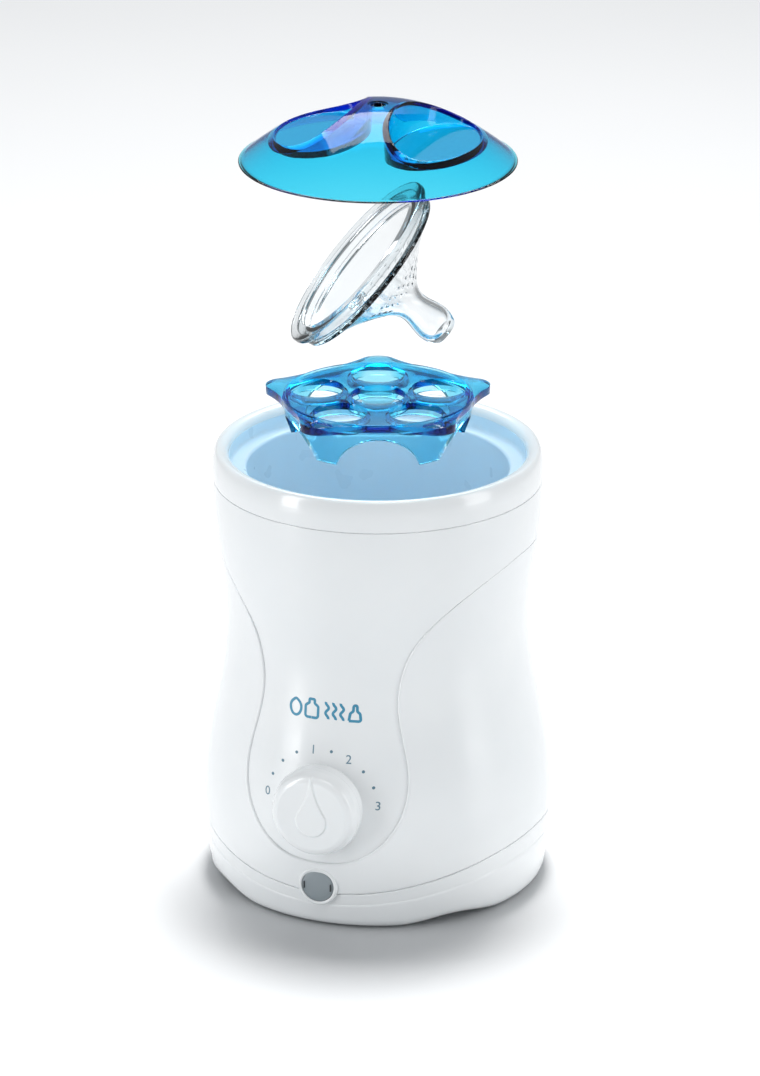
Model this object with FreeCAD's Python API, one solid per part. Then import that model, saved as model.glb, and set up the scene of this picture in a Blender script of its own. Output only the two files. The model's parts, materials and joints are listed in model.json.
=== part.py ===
import FreeCAD, Part
import math
import os

# One-bottle warmer and steriliser, in millimetres. The origin is on the axis of the body at the
# surface it stands on, the dial faces -Y and +Z is up. The rack, the teat and the lid are drawn
# lifted off, one above the other, as they are put in.

V = FreeCAD.Vector
UP = V(0, 0, 1)
OUT = V(0, -1, 0)

# Body
WALL = 2.8
BELLY_R, BELLY_Z = 62.0, 30.0
FOOT_TUCK = 3.0
WAIST_R, WAIST_Z = 53.5, 97.0
NECK_R, NECK_Z = 57.7, 145.0
SEAM_Z = 148.0
PANEL_SINK = 0.8
PANEL_FADE = (100.0, 120.0)
BACK_SEAM_Z = 129.0
PANEL_EDGE = ((0, 25.5), (12, 27), (25, 37), (30, 54), (25, 82), (28.5, 101), (42, 118), (56, BACK_SEAM_Z))

# Base
BASE_SEAM_Z, BASE_SEAM_RISE = 13.7, 12.5
SKIRT_Z, SKIRT_R = 0.8, 56.3
FLOOR_Z0, FLOOR_Z1 = 4.0, 6.4
ARCH_H, ARCH_FROM, ARCH_TO = 2.3, 26.0, 69.0
FOOT_AT, FOOT_R = 41.0, 6.0
BASE_SCREW_AT = 51.0

# Rim collar and well
RIM_R, RIM_SHOULDER_Z = 58.0, 152.3
CROWN_R, RIM_Z = 55.8, 159.3
MOUTH_R, MOUTH_Z = 52.2, 156.7
LINER_TOP_Z, LINER_R = 156.2, 52.0
LEDGE_Z, LEDGE_T, LEDGE_R = 152.0, 1.6, 46.0
WELL_R, WELL_Z, WELL_T = 44.8, 74.0, 1.4
LIP_R, LIP_Z1 = 40.0, 75.6
PLATE_Z = 74.3

# Heater
CLAMP_Z0, CLAMP_Z1 = 68.8, 71.3
CLAMP_BOSS_AT, CLAMP_BOSS_R = 48.2, 2.6
HEATER = (40.0, 20.0, 6.0)
STUD_X, STUD_R = 26.0, 1.5

# Dial
DIAL_Z = 45.5
PAD_R, PAD_Y = 15.4, -61.3
KNOB_R, KNOB_FACE_R = 16.0, 13.0
KNOB_BACK_Y, KNOB_FACE_Y = -61.6, -68.0
SPINDLE_R, BUSH_R, RUN_GAP = 3.0, 5.0, 0.05
DROP_R, DROP_Z, DROP_TIP, DROP_H = 5.5, -1.9, 14.6, 0.6

# Lamp and gland
LAMP_Z, LAMP_FACE_Y, LENS_R, BEZEL_R = 16.5, -61.9, 5.8, 7.2
GLAND_Z, GLAND_END_Y, GLAND_BORE = 14.0, 68.0, 3.2
GLAND_R, GLAND_HALF, GLAND_WASHER_R = 5.5, 4.7, 7.0

# Rack, drawn with its feet at RACK_Z
RACK_Z, RACK_H, RACK_T, RACK_TURN = 162.0, 16.0, 2.8, 110.0
EAR_AT, EAR_R, DISC_R, FILLET_R = 34.2, 6.8, 33.4, 40.0
RIDGE_R, RIDGE_RISE = 32.7, 0.5
HOLE_AT, HOLE_R, COLLAR_R, COLLAR_H = 22.4, 9.6, 10.8, 4.4
SKIRT_TOP_R, SKIRT_FOOT_R, SKIRT_T = 33.3, 30.8, 1.8
GAP_HALF, GAP_TOP = 14.5, 10.9

# Teat, drawn along its own axis and then leaned over
TEAT_AT = V(-7.5, -2.6, 227.3)
TEAT_HEADING, TEAT_TILT = 23.0, 40.7
VALVE_X, VALVE_Y, VALVE_R = 5.0, -23.5, 3.6

# Lid
LID_Z, LID_R, LID_RISE, LID_T = 263.3, 48.05, 20.5, 1.9
GRIP_X, GRIP_HALF_X, GRIP_HALF_Y, GRIP_SKEW = 21.4, 14.3, 25.0, 0.1
GRIP_FLOOR, GRIP_T = 8.2, 1.8
VENT_R, VENT_BORE, VENT_SINK = 3.4, 2.5, 0.5

FIFTH = 72.0
FAR = 90.0


def body_radius(z):
    """Outside radius of the body: round belly, narrow waist and flared neck."""
    if z <= BELLY_Z:
        return BELLY_R - FOOT_TUCK * (1 - math.cos(math.pi * (BELLY_Z - z) / (2 * BELLY_Z)))
    if z <= WAIST_Z:
        share = (1 + math.cos(math.pi * (z - BELLY_Z) / (WAIST_Z - BELLY_Z))) / 2
        return WAIST_R + (BELLY_R - WAIST_R) * share
    if z <= NECK_Z:
        share = (1 - math.cos(math.pi * (z - WAIST_Z) / (NECK_Z - WAIST_Z))) / 2
        return WAIST_R + (NECK_R - WAIST_R) * share
    return NECK_R


def panel_radius(z):
    """Outside radius of the front shell, whose lower part is sunk into the body."""
    low, high = PANEL_FADE
    share = min(max((high - z) / (high - low), 0.0), 1.0)
    return body_radius(z) - PANEL_SINK * (1 - math.cos(math.pi * share)) / 2


def steps(low, high, count):
    return [low + (high - low) * i / count for i in range(count + 1)]


def cylinder(radius, z0, z1, x=0.0, y=0.0):
    return Part.makeCylinder(radius, z1 - z0, V(x, y, z0), UP)


def out_cylinder(radius, y_back, y_front, z, x=0.0):
    """A cylinder along Y, from the deeper y_back out to y_front."""
    return Part.makeCylinder(radius, y_back - y_front, V(x, y_back, z), OUT)


def block(x0, x1, y0, y1, z0, z1):
    return Part.makeBox(x1 - x0, y1 - y0, z1 - z0, V(x0, y0, z0))


def smooth(points):
    curve = Part.BSplineCurve()
    curve.interpolate(points)
    return curve.toShape()


def outline(runs, place):
    """Closed face from runs of points: two points make a line, more make a smooth curve."""
    edges = []
    for run in runs:
        points = [place(*p) for p in run]
        edges.append(smooth(points) if len(points) > 2 else Part.makeLine(points[0], points[1]))
    return Part.Face(Part.Wire(Part.__sortEdges__(edges)))


def in_section(r, z):
    return V(r, 0, z)


def turned(runs):
    """Ring or disc whose half section in (r, z) is given by runs of points."""
    return outline(runs, in_section).revolve(V(0, 0, 0), UP, 360)


def ring(r0, r1, z0, z1):
    return cylinder(r1, z0, z1).cut(cylinder(r0, z0 - 1, z1 + 1))


def corners(*points):
    """Runs of straight lines around a closed polygon."""
    loop = list(points) + [points[0]]
    return [[loop[i], loop[i + 1]] for i in range(len(points))]


def around(shape, angle):
    copy = shape.copy()
    copy.rotate(V(0, 0, 0), UP, angle)
    return copy


def joined(shapes):
    return shapes[0].fuse(shapes[1:]).removeSplitter() if len(shapes) > 1 else shapes[0]


def group(shapes):
    return Part.makeCompound(shapes)


def hexagon(across, z0, z1, x, y):
    radius = across / math.sqrt(3)
    points = [V(x + radius * math.cos(math.radians(60 * i)), y + radius * math.sin(math.radians(60 * i)), z0)
              for i in range(7)]
    return Part.Face(Part.makePolygon(points)).extrude(V(0, 0, z1 - z0))


def tube(points, radius):
    """Round lead along straight runs joined by arcs as large as the runs allow."""
    nodes = [V(*p) for p in points]
    lines, cursor = [], nodes[0]
    for i in range(1, len(nodes) - 1):
        back, ahead = nodes[i - 1] - nodes[i], nodes[i + 1] - nodes[i]
        reach = 0.45 * min(back.Length, ahead.Length)
        back.normalize()
        ahead.normalize()
        start, end = nodes[i] + back * reach, nodes[i] + ahead * reach
        half_turn = (math.pi - back.getAngle(ahead)) / 2
        bend = reach / math.tan(half_turn)
        inward = (back + ahead).normalize()
        middle = nodes[i] + inward * (bend / math.cos(half_turn) - bend)
        lines += [Part.makeLine(cursor, start), Part.Arc(start, middle, end).toShape()]
        cursor = end
    lines.append(Part.makeLine(cursor, nodes[-1]))
    path = Part.Wire(lines)
    circle = Part.Wire(Part.makeCircle(radius, nodes[0], nodes[1] - nodes[0]))
    return path.makePipeShell([circle], True, False)


# ---- zones that split the body ----

def front_zone():
    """Everything that belongs to the front shell: inside the panel edge and above the back seam."""
    left = [(-x, z) for x, z in reversed(PANEL_EDGE[1:])]
    edge = left + list(PANEL_EDGE)
    side = edge[-1][0]
    runs = [edge, [(side, BACK_SEAM_Z), (FAR, BACK_SEAM_Z)], [(FAR, BACK_SEAM_Z), (FAR, RIM_Z)],
            [(FAR, RIM_Z), (-FAR, RIM_Z)], [(-FAR, RIM_Z), (-FAR, BACK_SEAM_Z)],
            [(-FAR, BACK_SEAM_Z), (-side, BACK_SEAM_Z)]]
    front = outline(runs, lambda x, z: V(x, -FAR, z)).extrude(V(0, FAR, 0))
    return front.fuse(block(-FAR, FAR, 0, FAR, BACK_SEAM_Z, RIM_Z))


def seam_height(x):
    return BASE_SEAM_Z + BASE_SEAM_RISE * (x / BELLY_R) ** 2


def base_zone():
    """Everything below the curved seam of the base pan."""
    curve = [(x, seam_height(x)) for x in steps(-66, 66, 8)]
    runs = [curve, [curve[-1], (66, -5)], [(66, -5), (-66, -5)], [(-66, -5), curve[0]]]
    return outline(runs, lambda x, z: V(x, -FAR, z)).extrude(V(0, 2 * FAR, 0))


def wall(outer, z0, z1, count):
    """Wall of the body between two heights, with the given outside."""
    outside = [(outer(z), z) for z in steps(z0, z1, count)]
    inside = [(body_radius(z) - WALL, z) for z in steps(z1, z0, count)]
    return turned([outside, [outside[-1], inside[0]], inside, [inside[-1], outside[0]]])


# ---- housing ----

def lamp_hole():
    return out_cylinder(LENS_R + 0.7, -50, -FAR, LAMP_Z)


def front_shell():
    shell = wall(panel_radius, 10, SEAM_Z, 24).common(front_zone())
    plate = out_cylinder(PAD_R, -50, PAD_Y, DIAL_Z)
    core = out_cylinder(PAD_R - 2, -50, PAD_Y + 2.5, DIAL_Z)
    hidden = cylinder(body_radius(DIAL_Z) - WALL - 0.4, 20, 70)
    pad = plate.cut(core).cut(hidden)
    shell = shell.cut(core).fuse(pad)
    return shell.cut(out_cylinder(BUSH_R, -40, -FAR, DIAL_Z)).removeSplitter()


def side_shell():
    shell = wall(body_radius, 10, BACK_SEAM_Z, 20).cut(front_zone()).cut(base_zone())
    pillars = []
    for i in range(4):
        pillar = cylinder(4.0, 8, 50, BASE_SCREW_AT).fuse(block(BASE_SCREW_AT, 59.5, -1.5, 1.5, 24, 50))
        pillar = pillar.cut(cylinder(1.5, 7, 22, BASE_SCREW_AT))
        pillars.append(around(pillar, 45 + 90 * i))
    shell = joined([shell] + pillars)
    return shell.cut(lamp_hole()).cut(gland_hole())


def gland_square(y0, y1):
    """Square neck of the gland, which keeps it from turning in the wall."""
    return block(-GLAND_HALF, GLAND_HALF, y0, y1, GLAND_Z - GLAND_HALF, GLAND_Z + GLAND_HALF)


def gland_hole():
    return gland_square(40, FAR)


def base_pan():
    rim_low = [(body_radius(z), z) for z in steps(3.6, 32, 8)]
    foot = [(SKIRT_R, SKIRT_Z), (58.2, 1.6), rim_low[0]]
    inside = [(body_radius(z) - WALL, z) for z in steps(32, FLOOR_Z1, 8)]
    runs = [rim_low, [rim_low[-1], inside[0]], inside, [inside[-1], (0, FLOOR_Z1)],
            [(0, FLOOR_Z1), (0, FLOOR_Z0)], [(0, FLOOR_Z0), (54.4, FLOOR_Z0)],
            [(54.4, FLOOR_Z0), (54.4, SKIRT_Z)], [(54.4, SKIRT_Z), foot[0]], foot]
    pan = turned(runs).common(base_zone())
    for mirror in (0, 180):
        for middle in (ARCH_FROM + ARCH_TO) / 2, -(ARCH_FROM + ARCH_TO) / 2:
            pan = pan.cut(around(arch(), mirror + middle))
    for i in range(4):
        turn = 45 + 90 * i
        boss = around(cylinder(3.6, FLOOR_Z1 - 0.4, 8, BASE_SCREW_AT), turn)
        pan = pan.fuse(boss).cut(around(cylinder(1.5, 0, 9, BASE_SCREW_AT), turn))
        pan = pan.cut(around(cylinder(2.4, 0, 7, FOOT_AT), turn))
    return pan.cut(lamp_hole()).cut(gland_hole()).removeSplitter()


def arch():
    """Tool for one low arch in the skirt, centred on the front."""
    half = math.radians((ARCH_TO - ARCH_FROM) / 2) * SKIRT_R
    top = SKIRT_Z + ARCH_H
    mid = SKIRT_Z + ARCH_H / 2
    curve = [(-half, SKIRT_Z), (-half / 2, mid), (0, top), (half / 2, mid), (half, SKIRT_Z)]
    runs = [curve, [curve[-1], (half, -1)], [(half, -1), (-half, -1)], [(-half, -1), curve[0]]]
    return outline(runs, lambda x, z: V(x, -FAR, z)).extrude(V(0, FAR - 50, 0))


def rubber_feet():
    return group([around(cylinder(FOOT_R, 0, FLOOR_Z0, FOOT_AT).fuse(cylinder(2.4, FLOOR_Z0, 6.2, FOOT_AT)),
                         45 + 90 * i) for i in range(4)])


def pan_screw(head_r, head_z0, head_z1, tip_z, at, shank_r=1.5):
    return cylinder(head_r, head_z0, head_z1, at).fuse(cylinder(shank_r, head_z1, tip_z, at))


def base_screws():
    return group([around(pan_screw(2.9, 2.2, FLOOR_Z0, 20, BASE_SCREW_AT), 45 + 90 * i) for i in range(4)])


def quarter(r0, z0, r1, z1):
    """Points of a quarter ellipse that leaves (r0, z0) upright and reaches (r1, z1) level."""
    angles = [math.radians(15 * i) for i in range(7)]
    return [(r1 + (r0 - r1) * math.cos(a), z0 + (z1 - z0) * math.sin(a)) for a in angles]


def rim_collar():
    """Hollow collar that hangs over the top of the liner and plugs into the neck."""
    outer = quarter(RIM_R, RIM_SHOULDER_Z, CROWN_R, RIM_Z)
    inner = quarter(MOUTH_R, MOUTH_Z, CROWN_R, RIM_Z)[::-1]
    inner[0] = outer[-1]
    runs = [[(NECK_R, SEAM_Z), outer[0]], outer, inner]
    runs += corners(inner[-1], (MOUTH_R, LINER_TOP_Z), (53.3, LINER_TOP_Z), (53.3, 143), (54.7, 143),
                    (54.7, LINER_TOP_Z - 1), (55.9, LINER_TOP_Z - 1), (55.9, SEAM_Z), (NECK_R, SEAM_Z))[:-1]
    return turned(runs)


def well_liner():
    out = WELL_T + WELL_R
    top_out = LINER_R + 1.2
    liner = turned(corners(
        (LINER_R, LINER_TOP_Z), (top_out, LINER_TOP_Z), (top_out, LEDGE_Z - LEDGE_T),
        (LEDGE_R + WELL_T, LEDGE_Z - LEDGE_T), (out, WELL_Z), (LIP_R, WELL_Z), (LIP_R, LIP_Z1),
        (WELL_R, LIP_Z1), (LEDGE_R, LEDGE_Z), (LINER_R, LEDGE_Z)))
    inside = turned(corners((0, LIP_Z1), (WELL_R, LIP_Z1), (LEDGE_R, LEDGE_Z), (0, LEDGE_Z)))
    for i in range(4):
        boss = around(cylinder(CLAMP_BOSS_R, CLAMP_Z1, 84, CLAMP_BOSS_AT), 45 + 90 * i)
        liner = liner.fuse(boss.cut(inside))
    for i in range(4):
        liner = liner.cut(around(cylinder(1.2, 60, 82, CLAMP_BOSS_AT), 45 + 90 * i))
    return liner.removeSplitter()


def well_gasket():
    return ring(40.5, 44.0, 72.5, WELL_Z)


def heater_plate():
    plate = cylinder(44.5, CLAMP_Z1, 72.5).fuse(cylinder(38.0, 72.5, PLATE_Z))
    for x in (-STUD_X, STUD_X):
        plate = plate.fuse(cylinder(STUD_R, 59.5, CLAMP_Z1, x))
    return plate.removeSplitter()


def clamp_ring():
    clamp = ring(39.0, 46.0, CLAMP_Z0, CLAMP_Z1)
    for i in range(4):
        ear = around(cylinder(2.6, CLAMP_Z0, CLAMP_Z1, CLAMP_BOSS_AT).fuse(
            block(44.5, CLAMP_BOSS_AT, -2.6, 2.6, CLAMP_Z0, CLAMP_Z1)), 45 + 90 * i)
        clamp = clamp.fuse(ear).cut(around(cylinder(1.2, 60, 75, CLAMP_BOSS_AT), 45 + 90 * i))
    return clamp.removeSplitter()


def clamp_screws():
    return group([around(pan_screw(2.2, 67.3, CLAMP_Z0, 81, CLAMP_BOSS_AT, 1.2), 45 + 90 * i)
                  for i in range(4)])


def ptc_heater():
    length, width, height = HEATER
    body = block(-length / 2, length / 2, -width / 2, width / 2, CLAMP_Z1 - height, CLAMP_Z1)
    return body.makeFillet(0.8, [e for e in body.Edges if abs(e.tangentAt(e.FirstParameter).z) > 0.9])


def heater_bracket():
    top = CLAMP_Z1 - HEATER[2]
    strip = block(-31, 31, -7, 7, top - 1.2, top)
    for x in (-STUD_X, STUD_X):
        strip = strip.cut(cylinder(STUD_R, 60, 70, x))
    return strip


def heater_nuts():
    top = CLAMP_Z1 - HEATER[2] - 1.2
    return group([hexagon(5.5, top - 2.4, top, x, 0).cut(cylinder(STUD_R, 55, 70, x))
                  for x in (-STUD_X, STUD_X)])


FUSE_Y, FUSE_R = 14.5, 2.0
BULB_Y, BULB_R = -15.0, 2.5


def lying(radius, x0, x1, y, z):
    return Part.makeCylinder(radius, x1 - x0, V(x0, y, z), V(1, 0, 0))


def saddle(radius, y, width):
    """Sheet strap that holds a round body against the underside of the heater plate."""
    z, sheet = CLAMP_Z1 - radius, radius + 0.6
    at = lambda side, height: V(-width / 2, y + side, height)
    edges = [Part.makeLine(at(-radius, CLAMP_Z1), at(-radius, z)),
             Part.Arc(at(-radius, z), at(0, z - radius), at(radius, z)).toShape(),
             Part.makeLine(at(radius, z), at(radius, CLAMP_Z1)),
             Part.makeLine(at(radius, CLAMP_Z1), at(sheet, CLAMP_Z1)),
             Part.makeLine(at(sheet, CLAMP_Z1), at(sheet, z)),
             Part.Arc(at(sheet, z), at(0, z - sheet), at(-sheet, z)).toShape(),
             Part.makeLine(at(-sheet, z), at(-sheet, CLAMP_Z1)),
             Part.makeLine(at(-sheet, CLAMP_Z1), at(-radius, CLAMP_Z1))]
    return Part.Face(Part.Wire(edges)).extrude(V(width, 0, 0))


def thermal_fuse():
    return lying(FUSE_R, -6, 6, FUSE_Y, CLAMP_Z1 - FUSE_R)


def fuse_clip():
    return saddle(FUSE_R, FUSE_Y, 5.0)


def bulb_clip():
    return saddle(BULB_R, BULB_Y, 6.0)


def thermostat_body():
    body = block(-11, 11, -53.8, -38, DIAL_Z - 9.5, DIAL_Z + 9.5)
    body = body.makeFillet(1.5, [e for e in body.Edges if abs(e.tangentAt(e.FirstParameter).y) > 0.9])
    body = body.fuse(out_cylinder(9.0, -53.8, PAD_Y + 2.5, DIAL_Z))
    body = body.fuse(out_cylinder(BUSH_R, PAD_Y + 2.5, PAD_Y - 2.0, DIAL_Z))
    for x, z in ((-6, -5), (6, 1)):
        body = body.fuse(block(x - 1.6, x + 1.6, -38, -35.5, DIAL_Z + z - 0.4, DIAL_Z + z + 0.4))
    return body.cut(out_cylinder(SPINDLE_R + RUN_GAP, -42, -FAR, DIAL_Z)).removeSplitter()


def thermostat_nut():
    nut = hexagon(12, 0, 1.8, 0, 0).cut(cylinder(BUSH_R, -1, 3))
    nut.rotate(V(0, 0, 0), V(1, 0, 0), 90)
    nut.translate(V(0, PAD_Y, DIAL_Z))
    return nut


def thermostat_spindle():
    spindle = out_cylinder(SPINDLE_R, -42.2, -66.8, DIAL_Z)
    flat = block(-4, 4, -68, PAD_Y - 2.2, DIAL_Z + 1.6, DIAL_Z + 4)
    return spindle.cut(flat)


def knob():
    side = [(KNOB_R, 0), (KNOB_R - 0.5, 3.2), (KNOB_R - 1.2, 4.9), (KNOB_FACE_R, KNOB_BACK_Y - KNOB_FACE_Y)]
    depth = KNOB_BACK_Y - KNOB_FACE_Y
    runs = [side] + corners((KNOB_FACE_R, depth), (0, depth), (0, depth - 1.8), (4.6, depth - 1.8),
                            (4.6, 2.4), (5.2, 2.4), (5.2, depth - 1.8), (13.4, depth - 1.8),
                            (14.4, 0), (KNOB_R, 0))[:-1]
    shell = turned(runs).fuse(cylinder(4.8, 2.4, depth - 1.0))
    shell = shell.fuse(drop(depth))
    shell.rotate(V(0, 0, 0), V(1, 0, 0), 90)
    shell.translate(V(0, KNOB_BACK_Y, DIAL_Z))
    bore = out_cylinder(SPINDLE_R, -60, -66.8, DIAL_Z).cut(block(-4, 4, -70, -60, DIAL_Z + 2.1, DIAL_Z + 4))
    return shell.cut(bore).removeSplitter()


def drop(depth):
    """Raised pointer in the shape of a drop, from the knob's face to the edge of its side."""
    sine = DROP_R / (DROP_TIP - DROP_Z)
    cosine = math.sqrt(1 - sine * sine)
    touch_x, touch_z = DROP_R * cosine, DROP_Z + DROP_R * sine
    waist = (0.28 * touch_x, DROP_Z + 0.62 * (DROP_TIP - DROP_Z))
    base, top = depth - 2.4, depth + DROP_H
    at = lambda x, z: V(x, z, base)
    arc = Part.Arc(at(-touch_x, touch_z), at(0, DROP_Z - DROP_R), at(touch_x, touch_z)).toShape()
    right = smooth([at(touch_x, touch_z), at(*waist), at(0, DROP_TIP)])
    left = smooth([at(0, DROP_TIP), at(-waist[0], waist[1]), at(-touch_x, touch_z)])
    pad = Part.Face(Part.Wire([arc, right, left])).extrude(V(0, 0, top - base))
    dome = turned([[(0, base), (KNOB_R - 0.8, base)],
                   [(KNOB_R - 0.8, base), (KNOB_R - 1.4, depth - 1.0), (12.4, top)],
                   [(12.4, top), (0, top)], [(0, top), (0, base)]])
    return pad.common(dome)


def knob_spring():
    return block(-2.0, 2.0, -66.6, -64.0, DIAL_Z + 1.6, DIAL_Z + 2.1)


def lamp_lens():
    lens = out_cylinder(LENS_R, -57.5, LAMP_FACE_Y, LAMP_Z)
    lens = lens.makeFillet(0.8, [e for e in lens.Edges if e.Closed and e.Vertexes[0].Y < -60])
    for x in (-LENS_R, LENS_R):
        lens = lens.cut(block(x - 0.9, x + 0.9, -63, -60.3, LAMP_Z - 1.8, LAMP_Z + 1.8))
    return lens


def lamp_bezel():
    """Thin ring around the lens with a flange against the wall."""
    flange = out_cylinder(BEZEL_R, -58, LAMP_FACE_Y - 0.2, LAMP_Z)
    belly = [(body_radius(z), z) for z in steps(5, 29, 8)]
    flange = flange.cut(turned([belly, [belly[-1], (0, 29)], [(0, 29), (0, 5)], [(0, 5), belly[0]]]))
    sleeve = out_cylinder(LENS_R + 0.7, -56.5, LAMP_FACE_Y, LAMP_Z)
    return flange.fuse(sleeve).cut(out_cylinder(LENS_R, -50, -FAR, LAMP_Z)).removeSplitter()


def lamp_holder():
    cup = out_cylinder(LENS_R + 0.7, -43.5, -56.5, LAMP_Z)
    return cup.cut(out_cylinder(4.6, -45.5, -60, LAMP_Z))


def neon_lamp():
    glass = out_cylinder(2.6, -45.5, -54.5, LAMP_Z)
    return glass.makeFillet(1.4, [e for e in glass.Edges if e.Closed and e.Vertexes[0].Y < -50])


def cord_gland():
    sleeve = out_cylinder(GLAND_R, GLAND_END_Y, 62.5, GLAND_Z)
    sleeve = sleeve.makeFillet(1.2, [e for e in sleeve.Edges if e.Closed and e.Vertexes[0].Y > 66])
    inner = out_cylinder(GLAND_WASHER_R, 56.5, 54.0, GLAND_Z)
    outer = out_cylinder(GLAND_WASHER_R, 63.8, 58, GLAND_Z).cut(cylinder(body_radius(GLAND_Z) + 0.9, 0, 40))
    gland = sleeve.fuse([gland_square(54, 63), inner, outer])
    return gland.cut(out_cylinder(GLAND_BORE, FAR, 40, GLAND_Z)).removeSplitter()


CLAMP_Y0, CLAMP_Y1 = 36.0, 43.0


def cord_clamp():
    bar = block(-11, 11, CLAMP_Y0, CLAMP_Y1, FLOOR_Z1, FLOOR_Z1 + 4.5)
    bar = bar.cut(Part.makeCylinder(3.0, 20, V(0, CLAMP_Y0 - 5, FLOOR_Z1), V(0, 1, 0)))
    for x in (-7.5, 7.5):
        bar = bar.cut(cylinder(1.3, 0, 20, x, (CLAMP_Y0 + CLAMP_Y1) / 2))
    return bar


def cord_clamp_screws():
    middle = (CLAMP_Y0 + CLAMP_Y1) / 2
    top = FLOOR_Z1 + 4.5
    return group([cylinder(1.3, FLOOR_Z1, top, x, middle).fuse(cylinder(2.5, top, top + 1.6, x, middle))
                  for x in (-7.5, 7.5)])


def terminal_block():
    body = block(-32, -8, 14, 26, FLOOR_Z1, FLOOR_Z1 + 11)
    for x in (-28, -20, -12):
        body = body.cut(cylinder(1.8, 14, 30, x, 22))
    return body


LEAD_R = 1.1
BLOCK_TOP = FLOOR_Z1 + 11


def lead_live():
    return tube([(-12, 17, BLOCK_TOP), (-12, 17, 27), (-9, 2, 36), (-6, -16, DIAL_Z - 5),
                 (-6, -35.5, DIAL_Z - 5)], LEAD_R)


def lead_switched():
    return tube([(6, -35.5, DIAL_Z + 1), (6, -28, DIAL_Z + 1), (20, -18, 52), (33, -4, 60),
                 (33, 8.4, 66.5), (27, 8.4, 68.3), (20, 8.4, 68.3)], LEAD_R)


def lead_neutral():
    fuse_z = CLAMP_Z1 - FUSE_R
    return tube([(-28, 17, BLOCK_TOP), (-28, 17, 32), (-29, 16, 50), (-24, FUSE_Y, 64),
                 (-14, FUSE_Y, fuse_z), (-6, FUSE_Y, fuse_z)], LEAD_R)


def lead_heater():
    fuse_z = CLAMP_Z1 - FUSE_R
    return tube([(6, FUSE_Y, fuse_z), (11, FUSE_Y, fuse_z), (15, 13.8, 68.8), (15, 10, 68.8)], 0.8)


def lamp_leads():
    left = tube([(-2.5, -43.5, LAMP_Z), (-2.5, -36, LAMP_Z), (-12, -20, 14), (-20, -2, 12.5),
                 (-20, 14, 12.5)], 0.8)
    right = tube([(2.5, -43.5, LAMP_Z), (2.5, -36, LAMP_Z), (6, -35, 24), (8, -43, 29),
                  (8, -43, DIAL_Z - 9.5)], 0.8)
    return group([left, right])


def sensor_capillary():
    """Bulb under the heater plate and the fine tube that joins it to the thermostat."""
    z = CLAMP_Z1 - BULB_R
    bulb = lying(BULB_R, -11, 11, BULB_Y, z)
    fine = tube([(8, -46, DIAL_Z + 9.5), (8, -46, 60), (20, -38, 64), (25, -24, 67), (19, BULB_Y, z),
                 (11, BULB_Y, z)], 0.8)
    return bulb.fuse(fine)


# ---- rack, teat and lid ----

def polar(radius, degrees):
    return V(radius * math.cos(math.radians(degrees)), radius * math.sin(math.radians(degrees)), 0)


def star_plate(thickness):
    """Disc with five round ears, each joined to it by a long hollow fillet on either side."""
    far = DISC_R + FILLET_R
    cosine = (far ** 2 + EAR_AT ** 2 - (EAR_R + FILLET_R) ** 2) / (2 * far * EAR_AT)
    swing = math.degrees(math.acos(cosine))
    edges = []
    for i in range(5):
        ear, middle = polar(EAR_AT, FIFTH * i), FIFTH * (i + 0.5)
        hollows = polar(far, FIFTH * i - swing), polar(far, FIFTH * i + swing)
        touches = [ear + (h - ear).normalize() * EAR_R for h in hollows]
        edges.append(Part.Arc(touches[0], polar(EAR_AT + EAR_R, FIFTH * i), touches[1]).toShape())
        for hollow, touch in zip(hollows, touches):
            foot = hollow * (DISC_R / far)
            waist = hollow + ((touch + foot) / 2 - hollow).normalize() * FILLET_R
            edges.append(Part.Arc(touch, waist, foot).toShape())
        start, end = polar(DISC_R, FIFTH * i + swing), polar(DISC_R, FIFTH * (i + 1) - swing)
        edges.append(Part.Arc(start, polar(DISC_R, middle), end).toShape())
    return Part.Face(Part.Wire(Part.__sortEdges__(edges))).extrude(V(0, 0, thickness))


def rack():
    plate = star_plate(RACK_T)
    plate.translate(V(0, 0, RACK_H - RACK_T))
    ridge = ring(RIDGE_R - 0.5, RIDGE_R + 0.5, RACK_H - 0.5, RACK_H + RIDGE_RISE)
    top = RACK_H - RACK_T + 0.2
    skirt = turned(corners((SKIRT_FOOT_R, 0), (SKIRT_TOP_R, top), (SKIRT_TOP_R - SKIRT_T, top),
                           (SKIRT_FOOT_R - SKIRT_T, 0)))
    for i in range(5):
        arc = Part.Arc(V(0, -GAP_HALF, -1), V(0, 0, GAP_TOP), V(0, GAP_HALF, -1)).toShape()
        base = Part.makeLine(V(0, GAP_HALF, -1), V(0, -GAP_HALF, -1))
        gap = Part.Face(Part.Wire([arc, base])).extrude(V(FAR, 0, 0))
        skirt = skirt.cut(around(gap, FIFTH * (i + 0.5)))
    places = [V(0, 0, 0)] + [around(Part.Vertex(HOLE_AT, 0, 0), FIFTH * i).Point for i in range(5)]
    body = joined([plate, ridge, skirt] + [cylinder(COLLAR_R, RACK_H - COLLAR_H, RACK_H - 0.5, p.x, p.y)
                                           for p in places])
    for p in places:
        body = body.cut(cylinder(HOLE_R, RACK_H - COLLAR_H - 0.5, RACK_H + 2, p.x, p.y))
    body = around(body, RACK_TURN)
    body.translate(V(0, 0, RACK_Z))
    return body


def lean(shape):
    """From the teat's own axis (+Z from its open end to its tip) to its leaning place."""
    shape.rotate(V(0, 0, 0), V(0, 1, 0), 90 + TEAT_TILT)
    shape.rotate(V(0, 0, 0), UP, TEAT_HEADING)
    shape.translate(TEAT_AT)
    return shape


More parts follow.
